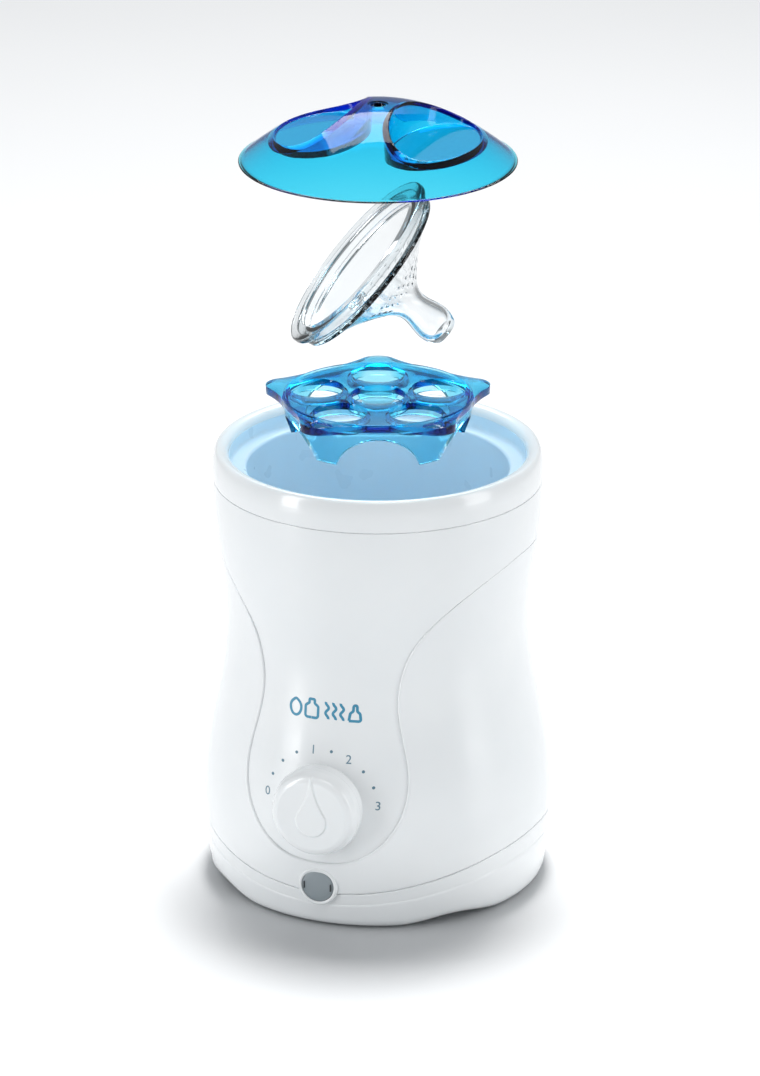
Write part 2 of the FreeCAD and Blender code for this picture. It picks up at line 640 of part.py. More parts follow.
def teat():
    """Thick flange, groove and lip of the open end, hollow cone, neck and rounded tip."""
    flange = [[(28.5, 0), (34.0, 0)], [(34.0, 0), (34.7, 0.6), (34.7, 1.8), (34.0, 2.4)],
              [(34.0, 2.4), (31.5, 2.6)], [(31.5, 2.6), (31.5, 4.8)], [(31.5, 4.8), (32.0, 4.9)],
              [(32.0, 4.9), (32.5, 5.8), (31.7, 6.6)], [(31.7, 6.6), (29.8, 6.9)]]
    cone = [(29.8, 6.9), (25.5, 9.3), (17.6, 14.0), (11.5, 18.4), (7.2, 22.4), (5.6, 26.0), (5.8, 29.5),
            (6.7, 34.0), (6.5, 38.0), (5.2, 41.0)]
    tip = [[(5.2, 41.0), (4.6, 41.6)], [(4.6, 41.6), (0, 41.6)], [(0, 41.6), (0, 40.2)]]
    inner = [(0, 40.2), (3.2, 39.6), (5.0, 37.2), (5.2, 34.0), (4.3, 29.5), (4.1, 26.0), (5.6, 21.8),
             (10.2, 17.0), (16.6, 12.2), (24.4, 7.6), (28.5, 5.4)]
    body = turned(flange + [cone] + tip + [inner, [(28.5, 5.4), (28.5, 0)]])
    return lean(body.cut(cylinder(0.4, 38, 43)).cut(cylinder(1.2, -1, 12, VALVE_X, VALVE_Y)))


def teat_valve():
    stem = cylinder(1.2, 4.6, 9.8, VALVE_X, VALVE_Y)
    return lean(stem.fuse(cylinder(VALVE_R, 3.2, 5.2, VALVE_X, VALVE_Y)).removeSplitter())


def grip_outline(z, grow, side):
    points = []
    for i in range(24):
        t = 2 * math.pi * i / 24
        x = GRIP_X + (GRIP_HALF_X + grow) * math.cos(t)
        y = (GRIP_HALF_Y + grow) * math.sin(t) * (1 - GRIP_SKEW * math.cos(t))
        points.append(V(side * x, y, z))
    curve = Part.BSplineCurve()
    curve.interpolate(points, PeriodicFlag=True)
    return Part.Face(Part.Wire(curve.toShape()))


def lid_dome(radius, rise):
    curve = [(radius * (1 - i / 8), rise * (1 - (1 - i / 8) ** 2)) for i in range(9)]
    return turned([curve, [(0, rise), (0, 0)], [(0, 0), (radius, 0)]])


def lid():
    dome = lid_dome(LID_R, LID_RISE)
    shell = dome.cut(lid_dome(LID_R - LID_T, LID_RISE - LID_T))
    for side in (-1, 1):
        cup = grip_outline(GRIP_FLOOR - GRIP_T, GRIP_T, side).extrude(V(0, 0, 30)).common(dome)
        shell = shell.fuse(cup).cut(grip_outline(GRIP_FLOOR, 0.0, side).extrude(V(0, 0, 30)))
    shell = shell.removeSplitter().cut(cylinder(VENT_R, LID_RISE - VENT_SINK, 40))
    shell = shell.cut(cylinder(VENT_BORE, 0, 40))
    shell.translate(V(0, 0, LID_Z))
    return shell


NODES = (
    front_shell, side_shell, base_pan, rubber_feet, base_screws, rim_collar, well_liner, well_gasket,
    heater_plate, clamp_ring, clamp_screws, ptc_heater, heater_bracket, heater_nuts, thermal_fuse,
    fuse_clip, bulb_clip, thermostat_body, thermostat_nut, thermostat_spindle, knob, knob_spring,
    lamp_lens, lamp_bezel, lamp_holder, neon_lamp, cord_gland, cord_clamp, cord_clamp_screws,
    terminal_block, lead_live, lead_switched, lead_neutral, lead_heater, lamp_leads, sensor_capillary,
    rack, teat, teat_valve, lid)

os.makedirs("parts", exist_ok=True)
for make in NODES:
    shape = make()
    solids = len(shape.Solids)
    print(make.__name__, "solids", solids, "volume", round(shape.Volume, 1), "valid", shape.isValid())
    shape.exportStep("parts/" + make.__name__ + ".step")
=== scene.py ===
import json
import math

import bmesh
import bpy
import numpy as np
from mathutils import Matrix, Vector
from mathutils.geometry import delaunay_2d_cdt
from mathutils.kdtree import KDTree


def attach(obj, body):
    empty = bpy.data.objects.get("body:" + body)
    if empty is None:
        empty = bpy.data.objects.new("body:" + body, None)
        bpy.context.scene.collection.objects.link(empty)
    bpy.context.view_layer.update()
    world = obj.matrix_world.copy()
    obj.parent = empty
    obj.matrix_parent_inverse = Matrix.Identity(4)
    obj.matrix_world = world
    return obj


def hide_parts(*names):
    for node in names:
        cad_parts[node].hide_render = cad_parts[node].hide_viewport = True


# The looks of the bottle steriliser. All sizes below are millimetres; MM turns them into metres.
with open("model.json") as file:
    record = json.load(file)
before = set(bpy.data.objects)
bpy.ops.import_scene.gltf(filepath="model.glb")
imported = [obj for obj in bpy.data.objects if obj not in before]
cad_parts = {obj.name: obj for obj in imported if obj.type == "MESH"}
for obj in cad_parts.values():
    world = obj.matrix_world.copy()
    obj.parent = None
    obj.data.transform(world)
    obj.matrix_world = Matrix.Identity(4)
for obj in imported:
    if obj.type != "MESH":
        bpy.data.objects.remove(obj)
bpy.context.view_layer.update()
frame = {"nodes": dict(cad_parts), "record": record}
MM = 0.001
TAU = 2 * math.pi

# ---- sizes repeated from the design ----
BELLY_R, BELLY_Z, FOOT_TUCK = 62.0, 30.0, 3.0
WAIST_R, WAIST_Z = 53.5, 97.0
NECK_R, NECK_Z, SEAM_Z = 57.7, 145.0, 148.0
PANEL_SINK, PANEL_FADE, BACK_SEAM_Z = 0.8, (100.0, 120.0), 129.0
PANEL_EDGE = ((0, 25.5), (12, 27), (25, 37), (30, 54), (25, 82), (28.5, 101), (42, 118), (56, BACK_SEAM_Z))
BASE_SEAM_Z, BASE_SEAM_RISE = 13.7, 12.5
SHELL_T, PRINT_T = 1.9, 0.045
SKIRT_Z, SKIRT_IN, FLOOR_Z = 0.8, 54.4, 4.0
ARCH_H, ARCH_MID, ARCH_HALF = 2.3, 47.5, 21.5
RIM_R, RIM_SHOULDER_Z, CROWN_R, RIM_Z = 58.0, 152.3, 55.8, 159.3
MOUTH_R, MOUTH_Z = 52.2, 156.7
LINER_R, LINER_TOP, LEDGE_Z, LEDGE_R = 52.0, 156.2, 152.0, 46.0
WELL_R, LIP_R, LIP_Z, WELL_Z = 44.8, 40.0, 75.6, 74.0
DIAL_Z, PAD_R, PAD_Y = 45.5, 15.4, -61.3
KNOB_R, KNOB_FACE_R, KNOB_BACK_Y, KNOB_FACE_Y = 16.0, 13.0, -61.6, -68.0
KNOB_CROWN = 0.12
DROP_R, DROP_Z, DROP_TIP, DROP_H = 5.5, -1.9, 14.6, 0.6
MARK_R, MARK_STEP = 20.6, 18.6
LAMP_Z, LAMP_Y, LENS_R, BEZEL_R = 16.5, -61.9, 5.8, 7.2
RACK_Z, RACK_H, RACK_T, RACK_TURN = 162.0, 16.0, 2.8, 110.0
EAR_AT, EAR_R, DISC_R, FILLET_R = 34.2, 6.8, 33.4, 40.0
RIDGE_R, RIDGE_RISE = 32.7, 0.5
HOLE_AT, HOLE_R, COLLAR_R, COLLAR_H = 22.4, 9.6, 10.8, 4.4
SKIRT_TOP_R, SKIRT_FOOT_R, SKIRT_T = 33.3, 30.8, 1.8
GAP_HALF, GAP_TOP, FIFTH = 14.5, 10.9, 72.0
TEAT_AT, TEAT_HEADING, TEAT_TILT = Vector((-7.5, -2.6, 227.3)), 23.0, 40.7
VALVE_X, VALVE_Y, VALVE_R = 5.0, -23.5, 3.6
LID_Z, LID_R, LID_RISE, LID_T = 263.3, 48.05, 20.5, 1.9
GRIP_X, GRIP_HALF_X, GRIP_HALF_Y, GRIP_SKEW = 21.4, 14.3, 25.0, 0.1
GRIP_FLOOR, GRIP_T = 8.2, 1.8
VENT_R, VENT_BORE, VENT_SINK = 3.4, 2.5, 0.5

# ---- camera ----
CAMERA_AZIMUTH, CAMERA_ELEVATION = 20.0, 21.1
CAMERA_DISTANCE, CAMERA_AIM_Z, CAMERA_LENS, CAMERA_SHIFT = 2126.7, 124.4, 202.3, 0.0019


# ======== small tools ========

def body_radius(z):
    """Outside radius of the body: round belly, narrow waist and flared neck."""
    z = np.asarray(z, float)
    foot = BELLY_R - FOOT_TUCK * (1 - np.cos(math.pi * (BELLY_Z - z) / (2 * BELLY_Z)))
    low = WAIST_R + (BELLY_R - WAIST_R) * (1 + np.cos(math.pi * (z - BELLY_Z) / (WAIST_Z - BELLY_Z))) / 2
    high = WAIST_R + (NECK_R - WAIST_R) * (1 - np.cos(math.pi * (z - WAIST_Z) / (NECK_Z - WAIST_Z))) / 2
    return np.where(z <= BELLY_Z, foot, np.where(z <= WAIST_Z, low, np.where(z <= NECK_Z, high, NECK_R)))


def panel_radius(z):
    share = np.clip((PANEL_FADE[1] - np.asarray(z, float)) / (PANEL_FADE[1] - PANEL_FADE[0]), 0, 1)
    return body_radius(z) - PANEL_SINK * (1 - np.cos(math.pi * share)) / 2


def spline(points, count):
    """Natural cubic spline through a few points, sampled evenly in its own parameter."""
    p = np.array(points, float)
    t = np.concatenate([[0], np.cumsum(np.linalg.norm(np.diff(p, axis=0), axis=1))])
    n, h = len(p), np.diff(t)
    matrix, right = np.eye(n), np.zeros((n, p.shape[1]))
    for i in range(1, n - 1):
        matrix[i, i - 1:i + 2] = h[i - 1], 2 * (h[i - 1] + h[i]), h[i]
        right[i] = 6 * ((p[i + 1] - p[i]) / h[i] - (p[i] - p[i - 1]) / h[i - 1])
    m = np.linalg.solve(matrix, right)
    s = np.linspace(0, t[-1], count)
    k = np.clip(np.searchsorted(t, s, side="right") - 1, 0, n - 2)
    a, b, w = (t[k + 1] - s)[:, None], (s - t[k])[:, None], h[k][:, None]
    return (m[k] * a ** 3 + m[k + 1] * b ** 3) / (6 * w) + (p[k] / w - m[k] * w / 6) * a \
        + (p[k + 1] / w - m[k + 1] * w / 6) * b


def rounded(corners, steps=6):
    """Polyline from (x, y, radius) corners, each corner turned into an arc of its radius."""
    out = []
    for i, (x, y, radius) in enumerate(corners):
        here = np.array((x, y), float)
        if radius <= 0 or i in (0, len(corners) - 1):
            out.append(here)
            continue
        before, after = np.array(corners[i - 1][:2], float) - here, np.array(corners[i + 1][:2], float) - here
        la, lb = np.linalg.norm(before), np.linalg.norm(after)
        before, after = before / la, after / lb
        half = math.acos(max(-1, min(1, float(before @ after)))) / 2
        reach = min(radius / math.tan(half), 0.49 * la, 0.49 * lb)
        size = reach * math.tan(half)
        middle = (before + after) / np.linalg.norm(before + after)
        centre = here + middle * size / math.sin(half)
        first, last = here + before * reach - centre, here + after * reach - centre
        turn = math.pi - 2 * half
        for k in range(steps + 1):
            w = k / steps
            swung = first * math.sin((1 - w) * turn) + last * math.sin(w * turn)
            out.append(centre + swung / math.sin(turn))
    return np.array(out)


def new_object(name, verts, faces, material, body, smooth=True):
    """A mesh piece in the row frame that rides on a body and takes the given material."""
    mesh = bpy.data.meshes.new(name)
    mesh.from_pydata([tuple(v) for v in np.asarray(verts, float) * MM], [], [tuple(f) for f in faces])
    mesh.validate()
    obj = bpy.data.objects.new(name, mesh)
    bpy.context.scene.collection.objects.link(obj)
    mesh.materials.append(material)
    if smooth:
        mesh.polygons.foreach_set("use_smooth", [True] * len(mesh.polygons))
    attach(obj, body)
    return obj


def clean(obj, merge=0.0004, sharp=None):
    """Merge doubled points, make the normals agree and, if asked, mark edges sharper than an angle."""
    bm = bmesh.new()
    bm.from_mesh(obj.data)
    bmesh.ops.remove_doubles(bm, verts=bm.verts, dist=merge * MM)
    bmesh.ops.dissolve_degenerate(bm, dist=merge * MM, edges=bm.edges)
    loose = [v for v in bm.verts if not v.link_faces]
    bmesh.ops.delete(bm, geom=loose, context="VERTS")
    bmesh.ops.recalc_face_normals(bm, faces=bm.faces)
    if sharp is not None:
        for e in bm.edges:
            e.smooth = not (len(e.link_faces) == 2 and e.calc_face_angle(0) > math.radians(sharp))
    bm.to_mesh(obj.data)
    bm.free()
    return obj


def grid_faces(rows, cols, wrap=False, start=0):
    faces = []
    for i in range(rows - 1):
        for j in range(cols if wrap else cols - 1):
            k = (j + 1) % cols
            faces.append((start + i * cols + j, start + i * cols + k,
                          start + (i + 1) * cols + k, start + (i + 1) * cols + j))
    return faces


def lathe_mesh(profile, segments, closed=False):
    """Points and faces of a profile of (r, z) turned about Z. A point at r = 0 becomes a pole."""
    profile = np.asarray(profile, float)
    angles = np.arange(segments) * TAU / segments
    verts = np.concatenate([np.c_[r * np.cos(angles), r * np.sin(angles), np.full(segments, z)]
                            for r, z in profile])
    faces = grid_faces(len(profile), segments, wrap=True)
    if closed:
        last = (len(profile) - 1) * segments
        faces += [(last + j, last + (j + 1) % segments, (j + 1) % segments, j) for j in range(segments)]
    return verts, faces


def on_y_axis(verts, y, z):
    """Turn a piece made about Z so that its +Z points to the front, and move it there."""
    v = np.asarray(verts, float)
    return np.c_[v[:, 0], y - v[:, 2], v[:, 1] + z]


def extrude_rim(obj, depth, chosen):
    """Turn the chosen open edges of a shell inwards, so that the shell shows its thickness."""
    bm = bmesh.new()
    bm.from_mesh(obj.data)
    edges = [e for e in bm.edges if len(e.link_faces) == 1 and all(chosen(v.co / MM) for v in e.verts)]
    made = bmesh.ops.extrude_edge_only(bm, edges=edges)["geom"]
    for v in (g for g in made if isinstance(g, bmesh.types.BMVert)):
        r = math.hypot(v.co.x, v.co.y)
        v.co.x *= 1 - depth * MM / r
        v.co.y *= 1 - depth * MM / r
    bmesh.ops.recalc_face_normals(bm, faces=bm.faces)
    for f in bm.faces:
        f.smooth = True
    bm.to_mesh(obj.data)
    bm.free()


# ======== materials ========

class Nodes:
    """Short way to build a node material around one Principled shader."""

    def __init__(self, name):
        self.material = bpy.data.materials.new(name)
        self.material.use_nodes = True
        self.tree = self.material.node_tree
        self.shader = self.tree.nodes["Principled BSDF"]
        self.out = self.tree.nodes["Material Output"]

    def set(self, **values):
        for key, value in values.items():
            self.shader.inputs[key.replace("_", " ")].default_value = value
        return self

    def add(self, kind, **values):
        node = self.tree.nodes.new(kind)
        for key, value in values.items():
            if key in node.inputs.keys():
                node.inputs[key].default_value = value
            else:
                setattr(node, key, value)
        return node

    def link(self, a, b):
        self.tree.links.new(a, b)

    def position(self, scale=(1, 1, 1)):
        coordinate = self.add("ShaderNodeTexCoord")
        mapping = self.add("ShaderNodeMapping")
        mapping.inputs["Scale"].default_value = scale
        self.link(coordinate.outputs["Object"], mapping.inputs["Vector"])
        return mapping.outputs["Vector"]

    def noise(self, scale, detail=3.0, stretch=(1, 1, 1)):
        node = self.add("ShaderNodeTexNoise", Scale=scale, Detail=detail)
        self.link(self.position(stretch), node.inputs["Vector"])
        return node.outputs["Fac"]

    def ramp(self, fac, low, high, socket, from_low=0.3, from_high=0.7):
        """Spread a 0 to 1 value between two colours or two numbers on a shader socket."""
        if isinstance(low, (tuple, list)):
            node = self.add("ShaderNodeValToRGB")
            node.color_ramp.elements[0].color = (*low, 1)
            node.color_ramp.elements[1].color = (*high, 1)
            node.color_ramp.elements[0].position = from_low
            node.color_ramp.elements[1].position = from_high
            self.link(fac, node.inputs["Fac"])
            self.link(node.outputs["Color"], self.shader.inputs[socket])
        else:
            node = self.add("ShaderNodeMapRange")
            ends = {"From Min": from_low, "From Max": from_high, "To Min": low, "To Max": high}
            for key, value in ends.items():
                node.inputs[key].default_value = value
            self.link(fac, node.inputs["Value"])
            self.link(node.outputs["Result"], self.shader.inputs[socket])
        return self

    def bump(self, fac, strength, distance):
        node = self.add("ShaderNodeBump", Strength=strength, Distance=distance)
        self.link(fac, node.inputs["Height"])
        self.link(node.outputs["Normal"], self.shader.inputs["Normal"])
        return self

    def absorb(self, colour, density):
        volume = self.add("ShaderNodeVolumeAbsorption", Density=density)
        volume.inputs["Color"].default_value = (*colour, 1)
        self.link(volume.outputs["Volume"], self.out.inputs["Volume"])
        return self


def plastic(name, low, high, rough=(0.2, 0.28), grain=900.0, depth=0.00002, coat=0.0, through=0.0):
    """Moulded plastic: faint mottling of the colour and the gloss, and a very fine skin."""
    n = Nodes(name).set(IOR=1.49, Coat_Weight=coat, Coat_Roughness=0.05, Transmission_Weight=through)
    n.ramp(n.noise(26.0), low, high, "Base Color")
    n.ramp(n.noise(70.0), rough[0], rough[1], "Roughness")
    return n.bump(n.noise(grain, 2.0), 0.25, depth).material


def clear_plastic(name, tint, density, rough, ior, coat=0.0):
    """Clear tinted plastic whose colour deepens with the thickness that light crosses."""
    n = Nodes(name).set(Transmission_Weight=1.0, IOR=ior, Coat_Weight=coat, Coat_Roughness=0.04)
    n.ramp(n.noise(40.0), (0.97, 0.985, 0.99), (1.0, 1.0, 1.0), "Base Color")
    n.ramp(n.noise(55.0), rough[0], rough[1], "Roughness")
    ray, mix = n.add("ShaderNodeLightPath"), n.add("ShaderNodeMixShader")
    passing = n.add("ShaderNodeBsdfTransparent")
    n.link(ray.outputs["Is Shadow Ray"], mix.inputs[0])
    n.link(n.shader.outputs["BSDF"], mix.inputs[1])
    n.link(passing.outputs["BSDF"], mix.inputs[2])
    n.link(mix.outputs["Shader"], n.out.inputs["Surface"])
    return n.absorb(tint, density).material


def metal(name, low, high, rough, stretch=(1, 1, 14)):
    """Drawn or turned metal with fine lines along its length."""
    n = Nodes(name).set(Metallic=1.0)
    lines = n.noise(160.0, 4.0, stretch)
    n.ramp(lines, low, high, "Base Color")
    n.ramp(lines, rough[0], rough[1], "Roughness")
    return n.bump(lines, 0.2, 0.00004).material


def rubber(name, low, high):
    n = Nodes(name).set(IOR=1.45, Sheen_Weight=0.15)
    n.ramp(n.noise(90.0), low, high, "Base Color")
    n.ramp(n.noise(140.0), 0.55, 0.75, "Roughness")
    return n.bump(n.noise(1400.0, 2.0), 0.4, 0.00003).material


WHITE = plastic("white_shell", (0.80, 0.825, 0.84), (0.84, 0.86, 0.87), (0.16, 0.22), coat=0.35)
LINER = plastic("liner_blue", (0.58, 0.74, 0.86), (0.62, 0.77, 0.88), (0.26, 0.34))
PRINT = plastic("print_blue", (0.04, 0.24, 0.38), (0.055, 0.28, 0.43), (0.4, 0.5))
MARKS = plastic("print_marks", (0.10, 0.20, 0.27), (0.13, 0.24, 0.31), (0.4, 0.5))
DARK = plastic("clip_dark", (0.03, 0.035, 0.04), (0.05, 0.055, 0.06), (0.4, 0.5))
BLUE = clear_plastic("blue_clear", (0.02, 0.87, 0.972), 1800.0, (0.03, 0.06), 1.17, 0.35)
RACK_BLUE = clear_plastic("rack_blue_clear", (0.06, 0.80, 0.945), 640.0, (0.03, 0.06), 1.2, 0.4)
SILICONE = clear_plastic("silicone_clear", (0.68, 0.75, 0.78), 75.0, (0.03, 0.06), 1.34)
LENS = plastic("lens_grey", (0.30, 0.35, 0.385), (0.34, 0.395, 0.425), (0.3, 0.4), coat=0.5, through=0.25)
FINISH = {
    "white_plastic": WHITE, "liner_plastic": LINER, "blue_plastic": BLUE, "silicone": SILICONE,
    "lens_plastic": LENS,
    "lamp_glass": clear_plastic("lamp_glass", (0.9, 0.7, 0.5), 60.0, (0.01, 0.03), 1.5),
    "foot_rubber": rubber("foot_rubber", (0.50, 0.52, 0.54), (0.58, 0.60, 0.62)),
    "gasket_rubber": rubber("gasket_rubber", (0.36, 0.36, 0.36), (0.44, 0.44, 0.44)),
    "plate_aluminium": metal("plate_aluminium", (0.70, 0.71, 0.72), (0.82, 0.83, 0.84), (0.25, 0.4),
                             (1, 1, 1)),
    "heater_ceramic": plastic("heater_ceramic", (0.72, 0.69, 0.62), (0.8, 0.77, 0.7), (0.6, 0.75)),
    "steel": metal("steel", (0.52, 0.52, 0.54), (0.64, 0.64, 0.66), (0.22, 0.38)),
    "grey_plastic": plastic("grey_plastic", (0.66, 0.68, 0.70), (0.72, 0.74, 0.76), (0.4, 0.5)),
    "brass": metal("brass", (0.62, 0.46, 0.18), (0.74, 0.56, 0.26), (0.2, 0.34)),
    "copper": metal("copper", (0.62, 0.30, 0.18), (0.74, 0.40, 0.26), (0.25, 0.4)),
    "lead_brown": rubber("lead_brown", (0.14, 0.06, 0.03), (0.18, 0.08, 0.04)),
    "lead_blue": rubber("lead_blue", (0.03, 0.08, 0.35), (0.05, 0.11, 0.42)),
    "lead_white": rubber("lead_white", (0.7, 0.7, 0.7), (0.78, 0.78, 0.78)),
}


def dress_cad():
    """Every carried-over CAD node takes its slot's material."""
    for part in frame["record"]["subparts"]:
        mesh = frame["nodes"][part["node"]].data
        mesh.materials.clear()
        mesh.materials.append(FINISH[part["material_slot"]])


# ======== body shells ========

EDGE_CURVE = spline([(-x, z) for x, z in reversed(PANEL_EDGE[1:])] + list(PANEL_EDGE), 1201)
RIGHT_EDGE = EDGE_CURVE[600:]


def edge_x(z):
    """Half width of the front panel at a height, measured across the front view."""
    return np.interp(z, RIGHT_EDGE[:, 1], RIGHT_EDGE[:, 0], left=0.0)


def edge_angle(z):
    return np.arcsin(np.clip(edge_x(z) / body_radius(z), 0, 0.999))


def seam_height(angle):
    return BASE_SEAM_Z + BASE_SEAM_RISE * np.sin(angle) ** 2


def parting_line():
    """The parting line between the shells as a search tree of points on the body."""
    radius = body_radius(EDGE_CURVE[:, 1])
    angle = np.arcsin(np.clip(EDGE_CURVE[:, 0] / radius, -0.999, 0.999))
    back = np.linspace(float(edge_angle(BACK_SEAM_Z)), TAU - float(edge_angle(BACK_SEAM_Z)), 900)
    points = np.concatenate([np.c_[angle, EDGE_CURVE[:, 1]], np.c_[back, np.full(900, BACK_SEAM_Z)]])
    tree = KDTree(len(points))
    for i, (a, z) in enumerate(points):
        r = float(body_radius(z))
        tree.insert((r * math.sin(a), -r * math.cos(a), z), i)
    tree.balance()
    return tree


EDGE_TREE = parting_line()


def edge_distance(points):
    return np.array([EDGE_TREE.find(p)[2] for p in points])


def roll(distance, radius):
    """How far a rounded edge has dropped at a distance from the edge."""
    d = np.clip(distance, 0, radius)
    return radius - np.sqrt(np.maximum(radius ** 2 - (radius - d) ** 2, 0))


def around_body(angle, radius, z):
    return np.stack([radius * np.sin(angle), -radius * np.cos(angle), z * np.ones_like(angle)], axis=-1)


def dense(low, high, count, power=2.0):
    """Steps from low to high, close together near low."""
    return low + (high - low) * np.linspace(0, 1, count) ** power


def seam_gap(z):
    """Half of the gap along the panel's edge: shut where the panel is sunk, open above."""
    return 0.012 + 0.08 * np.clip((np.asarray(z, float) - 101) / 12, 0, 1)


def side_shell():
    rows = np.concatenate([np.linspace(0, 0.035, 10)[:-1], np.linspace(0.035, 0.085, 12)[:-1],
                           np.linspace(0.085, 0.125, 56)[:-1], np.linspace(0.125, 0.2, 34)[:-1],
                           np.linspace(0.2, 0.97, 110)[:-1], np.linspace(0.97, 1.0, 22)])
    near = dense(0, 0.05, 14, 1.6)
    across = np.concatenate([near, np.linspace(0.05, 0.5, 60)[1:]])
    across = np.concatenate([across, 1 - across[::-1][1:]])
    verts = []
    for v in rows:
        start = 0.0
        low, high = 0.0, 1.5
        height = lambda a: seam_height(a) + v * (BACK_SEAM_Z - seam_height(a))
        if height(0.0) > RIGHT_EDGE[0, 1]:
            for _ in range(40):
                start = (low + high) / 2
                z = float(height(start))
                if edge_x(z) > body_radius(z) * math.sin(start):
                    low = start
                else:
                    high = start
            start += float(seam_gap(height(start))) / 57
        angle = start + across * (TAU - 2 * start)
        z = height(angle)
        verts.append(around_body(angle, body_radius(z), z))
    verts = np.concatenate(verts)
    z = verts[:, 2]
    angle = np.arctan2(verts[:, 0], -verts[:, 1])
    soft = 0.22 + 0.58 * np.clip((PANEL_FADE[1] - z) / 20, 0, 1)
    drop = roll(edge_distance(verts) - seam_gap(z), soft)
    drop = np.maximum(drop, roll(z - seam_height(angle), 0.35))
    radius = body_radius(z) - drop
    verts = around_body(angle, radius, z)
    faces = grid_faces(len(rows), len(across))
    obj = clean(new_object("side_shell_skin", verts, faces, WHITE, "housing"))
    extrude_rim(obj, SHELL_T, lambda p: True)
    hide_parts("side_shell")
    return obj


def front_shell():
    curve = RIGHT_EDGE[:, 1]
    heights = np.concatenate([np.interp(np.linspace(0, 1, 150) ** 1.25 * 600, np.arange(601), curve)])
    u = np.concatenate([dense(0, 0.12, 12, 1.5), np.linspace(0.12, 1.0, 46)[1:]])
    u = 1 - u[::-1]
    across = np.concatenate([-u[::-1][:-1], u])
    verts = []
    for z in heights:
        half = max(float(edge_angle(z) - seam_gap(z) / 57), 0.0)
        verts.append(around_body(across * half, panel_radius(z), z))
    half = float(edge_angle(BACK_SEAM_Z) - seam_gap(BACK_SEAM_Z) / 57)
    faces = grid_faces(len(heights), len(across))
    start = len(heights) * len(across)
    back = np.linspace(half, TAU - half, 150)[1:-1]
    full = np.concatenate([across * half, back])
    levels = np.concatenate([BACK_SEAM_Z + dense(0, 3, 14, 1.6), np.linspace(132, SEAM_Z - 1, 14)[1:],
                             SEAM_Z - dense(0, 1, 8, 1.6)[::-1][1:]])
    for z in levels:
        verts.append(around_body(full, panel_radius(z), z))
    faces += grid_faces(len(levels), len(full), wrap=True, start=start)
    verts = np.concatenate(verts)
    z = verts[:, 2]
    angle = np.arctan2(verts[:, 0], -verts[:, 1])
    soft = 0.03 + 0.22 * np.clip((z - 101) / 12, 0, 1)
    drop = np.maximum(roll(edge_distance(verts) - seam_gap(z), soft), roll(SEAM_Z - z, 0.25))
    verts = around_body(angle, panel_radius(z) - drop, z)
    obj = clean(new_object("front_shell_skin", verts, faces, WHITE, "housing"))
    extrude_rim(obj, SHELL_T, lambda p: True)
    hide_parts("front_shell")
    return obj


def skirt_bottom(angle):
    """Height of the base's lower edge, with a low arch to the left and right of front and back."""
    degrees = np.degrees(np.abs((angle + math.pi) % TAU - math.pi))
    off_middle = np.abs(np.minimum(degrees, 180 - degrees) - ARCH_MID) / ARCH_HALF
    return SKIRT_Z + ARCH_H * np.cos(math.pi / 2 * np.minimum(off_middle, 1)) ** 2


def base_pan():
    angle = np.linspace(0, TAU, 361)[:-1]
    top, bottom = seam_height(angle) - 0.16, skirt_bottom(angle)
    line = BASE_SEAM_Z - 4.2 + 0.78 * BASE_SEAM_RISE * np.sin(angle) ** 2
    rows, verts = [], []
    for w in dense(0, 1, 14, 1.4):
        rows.append(top + (line + 0.5 - top) * w)
    for w in np.linspace(0, 1, 9)[1:]:
        rows.append(line + 0.5 - w * 1.0)
    for w in np.linspace(0, 1, 10)[1:]:
        rows.append(line - 0.5 + (bottom + 3.2 - line + 0.5) * w)
    for w in np.linspace(0, 1, 11)[1:]:
        rows.append(bottom + 3.2 * (1 - w) ** 2)
    for z in rows:
        above = np.clip((z - bottom) / 3.2, 0, 1)
        tuck = 2.7 * (1 - np.sqrt(np.maximum(1 - (1 - above) ** 2, 0)))
        share = np.clip((z - line) / 0.5, -1, 1)
        step = 0.16 * (1 + share) / 2 + 0.1 * (1 - np.abs(share))
        radius = body_radius(z) - tuck - step - roll(top - z, 0.3)
        verts.append(around_body(angle, radius, z))
    edge = np.minimum(body_radius(bottom) - 2.7 - 0.4, 55.9)
    verts.append(around_body(angle, np.minimum(edge, 55.9) - 0.3, bottom - 0.02))
    verts.append(around_body(angle, np.full_like(angle, SKIRT_IN), bottom + 0.2))
    verts.append(around_body(angle, np.full_like(angle, SKIRT_IN), np.full_like(angle, FLOOR_Z)))
    for r in (SKIRT_IN - 0.4, 48.0, 36.0, 20.0, 0.0):
        verts.append(around_body(angle, np.full_like(angle, r), np.full_like(angle, FLOOR_Z)))
    count = len(verts)
    obj = new_object("base_pan_skin", np.concatenate(verts), grid_faces(count, len(angle), wrap=True),
                     WHITE, "housing")
    clean(obj)
    extrude_rim(obj, SHELL_T, lambda p: p.z > 10)
    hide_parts("base_pan")
    return obj


def quarter(r0, z0, r1, z1, count=16):
    """Quarter ellipse that leaves (r0, z0) upright and reaches (r1, z1) level."""
    a = np.linspace(0, math.pi / 2, count)
    return np.c_[r1 + (r0 - r1) * np.cos(a), z0 + (z1 - z0) * np.sin(a)]


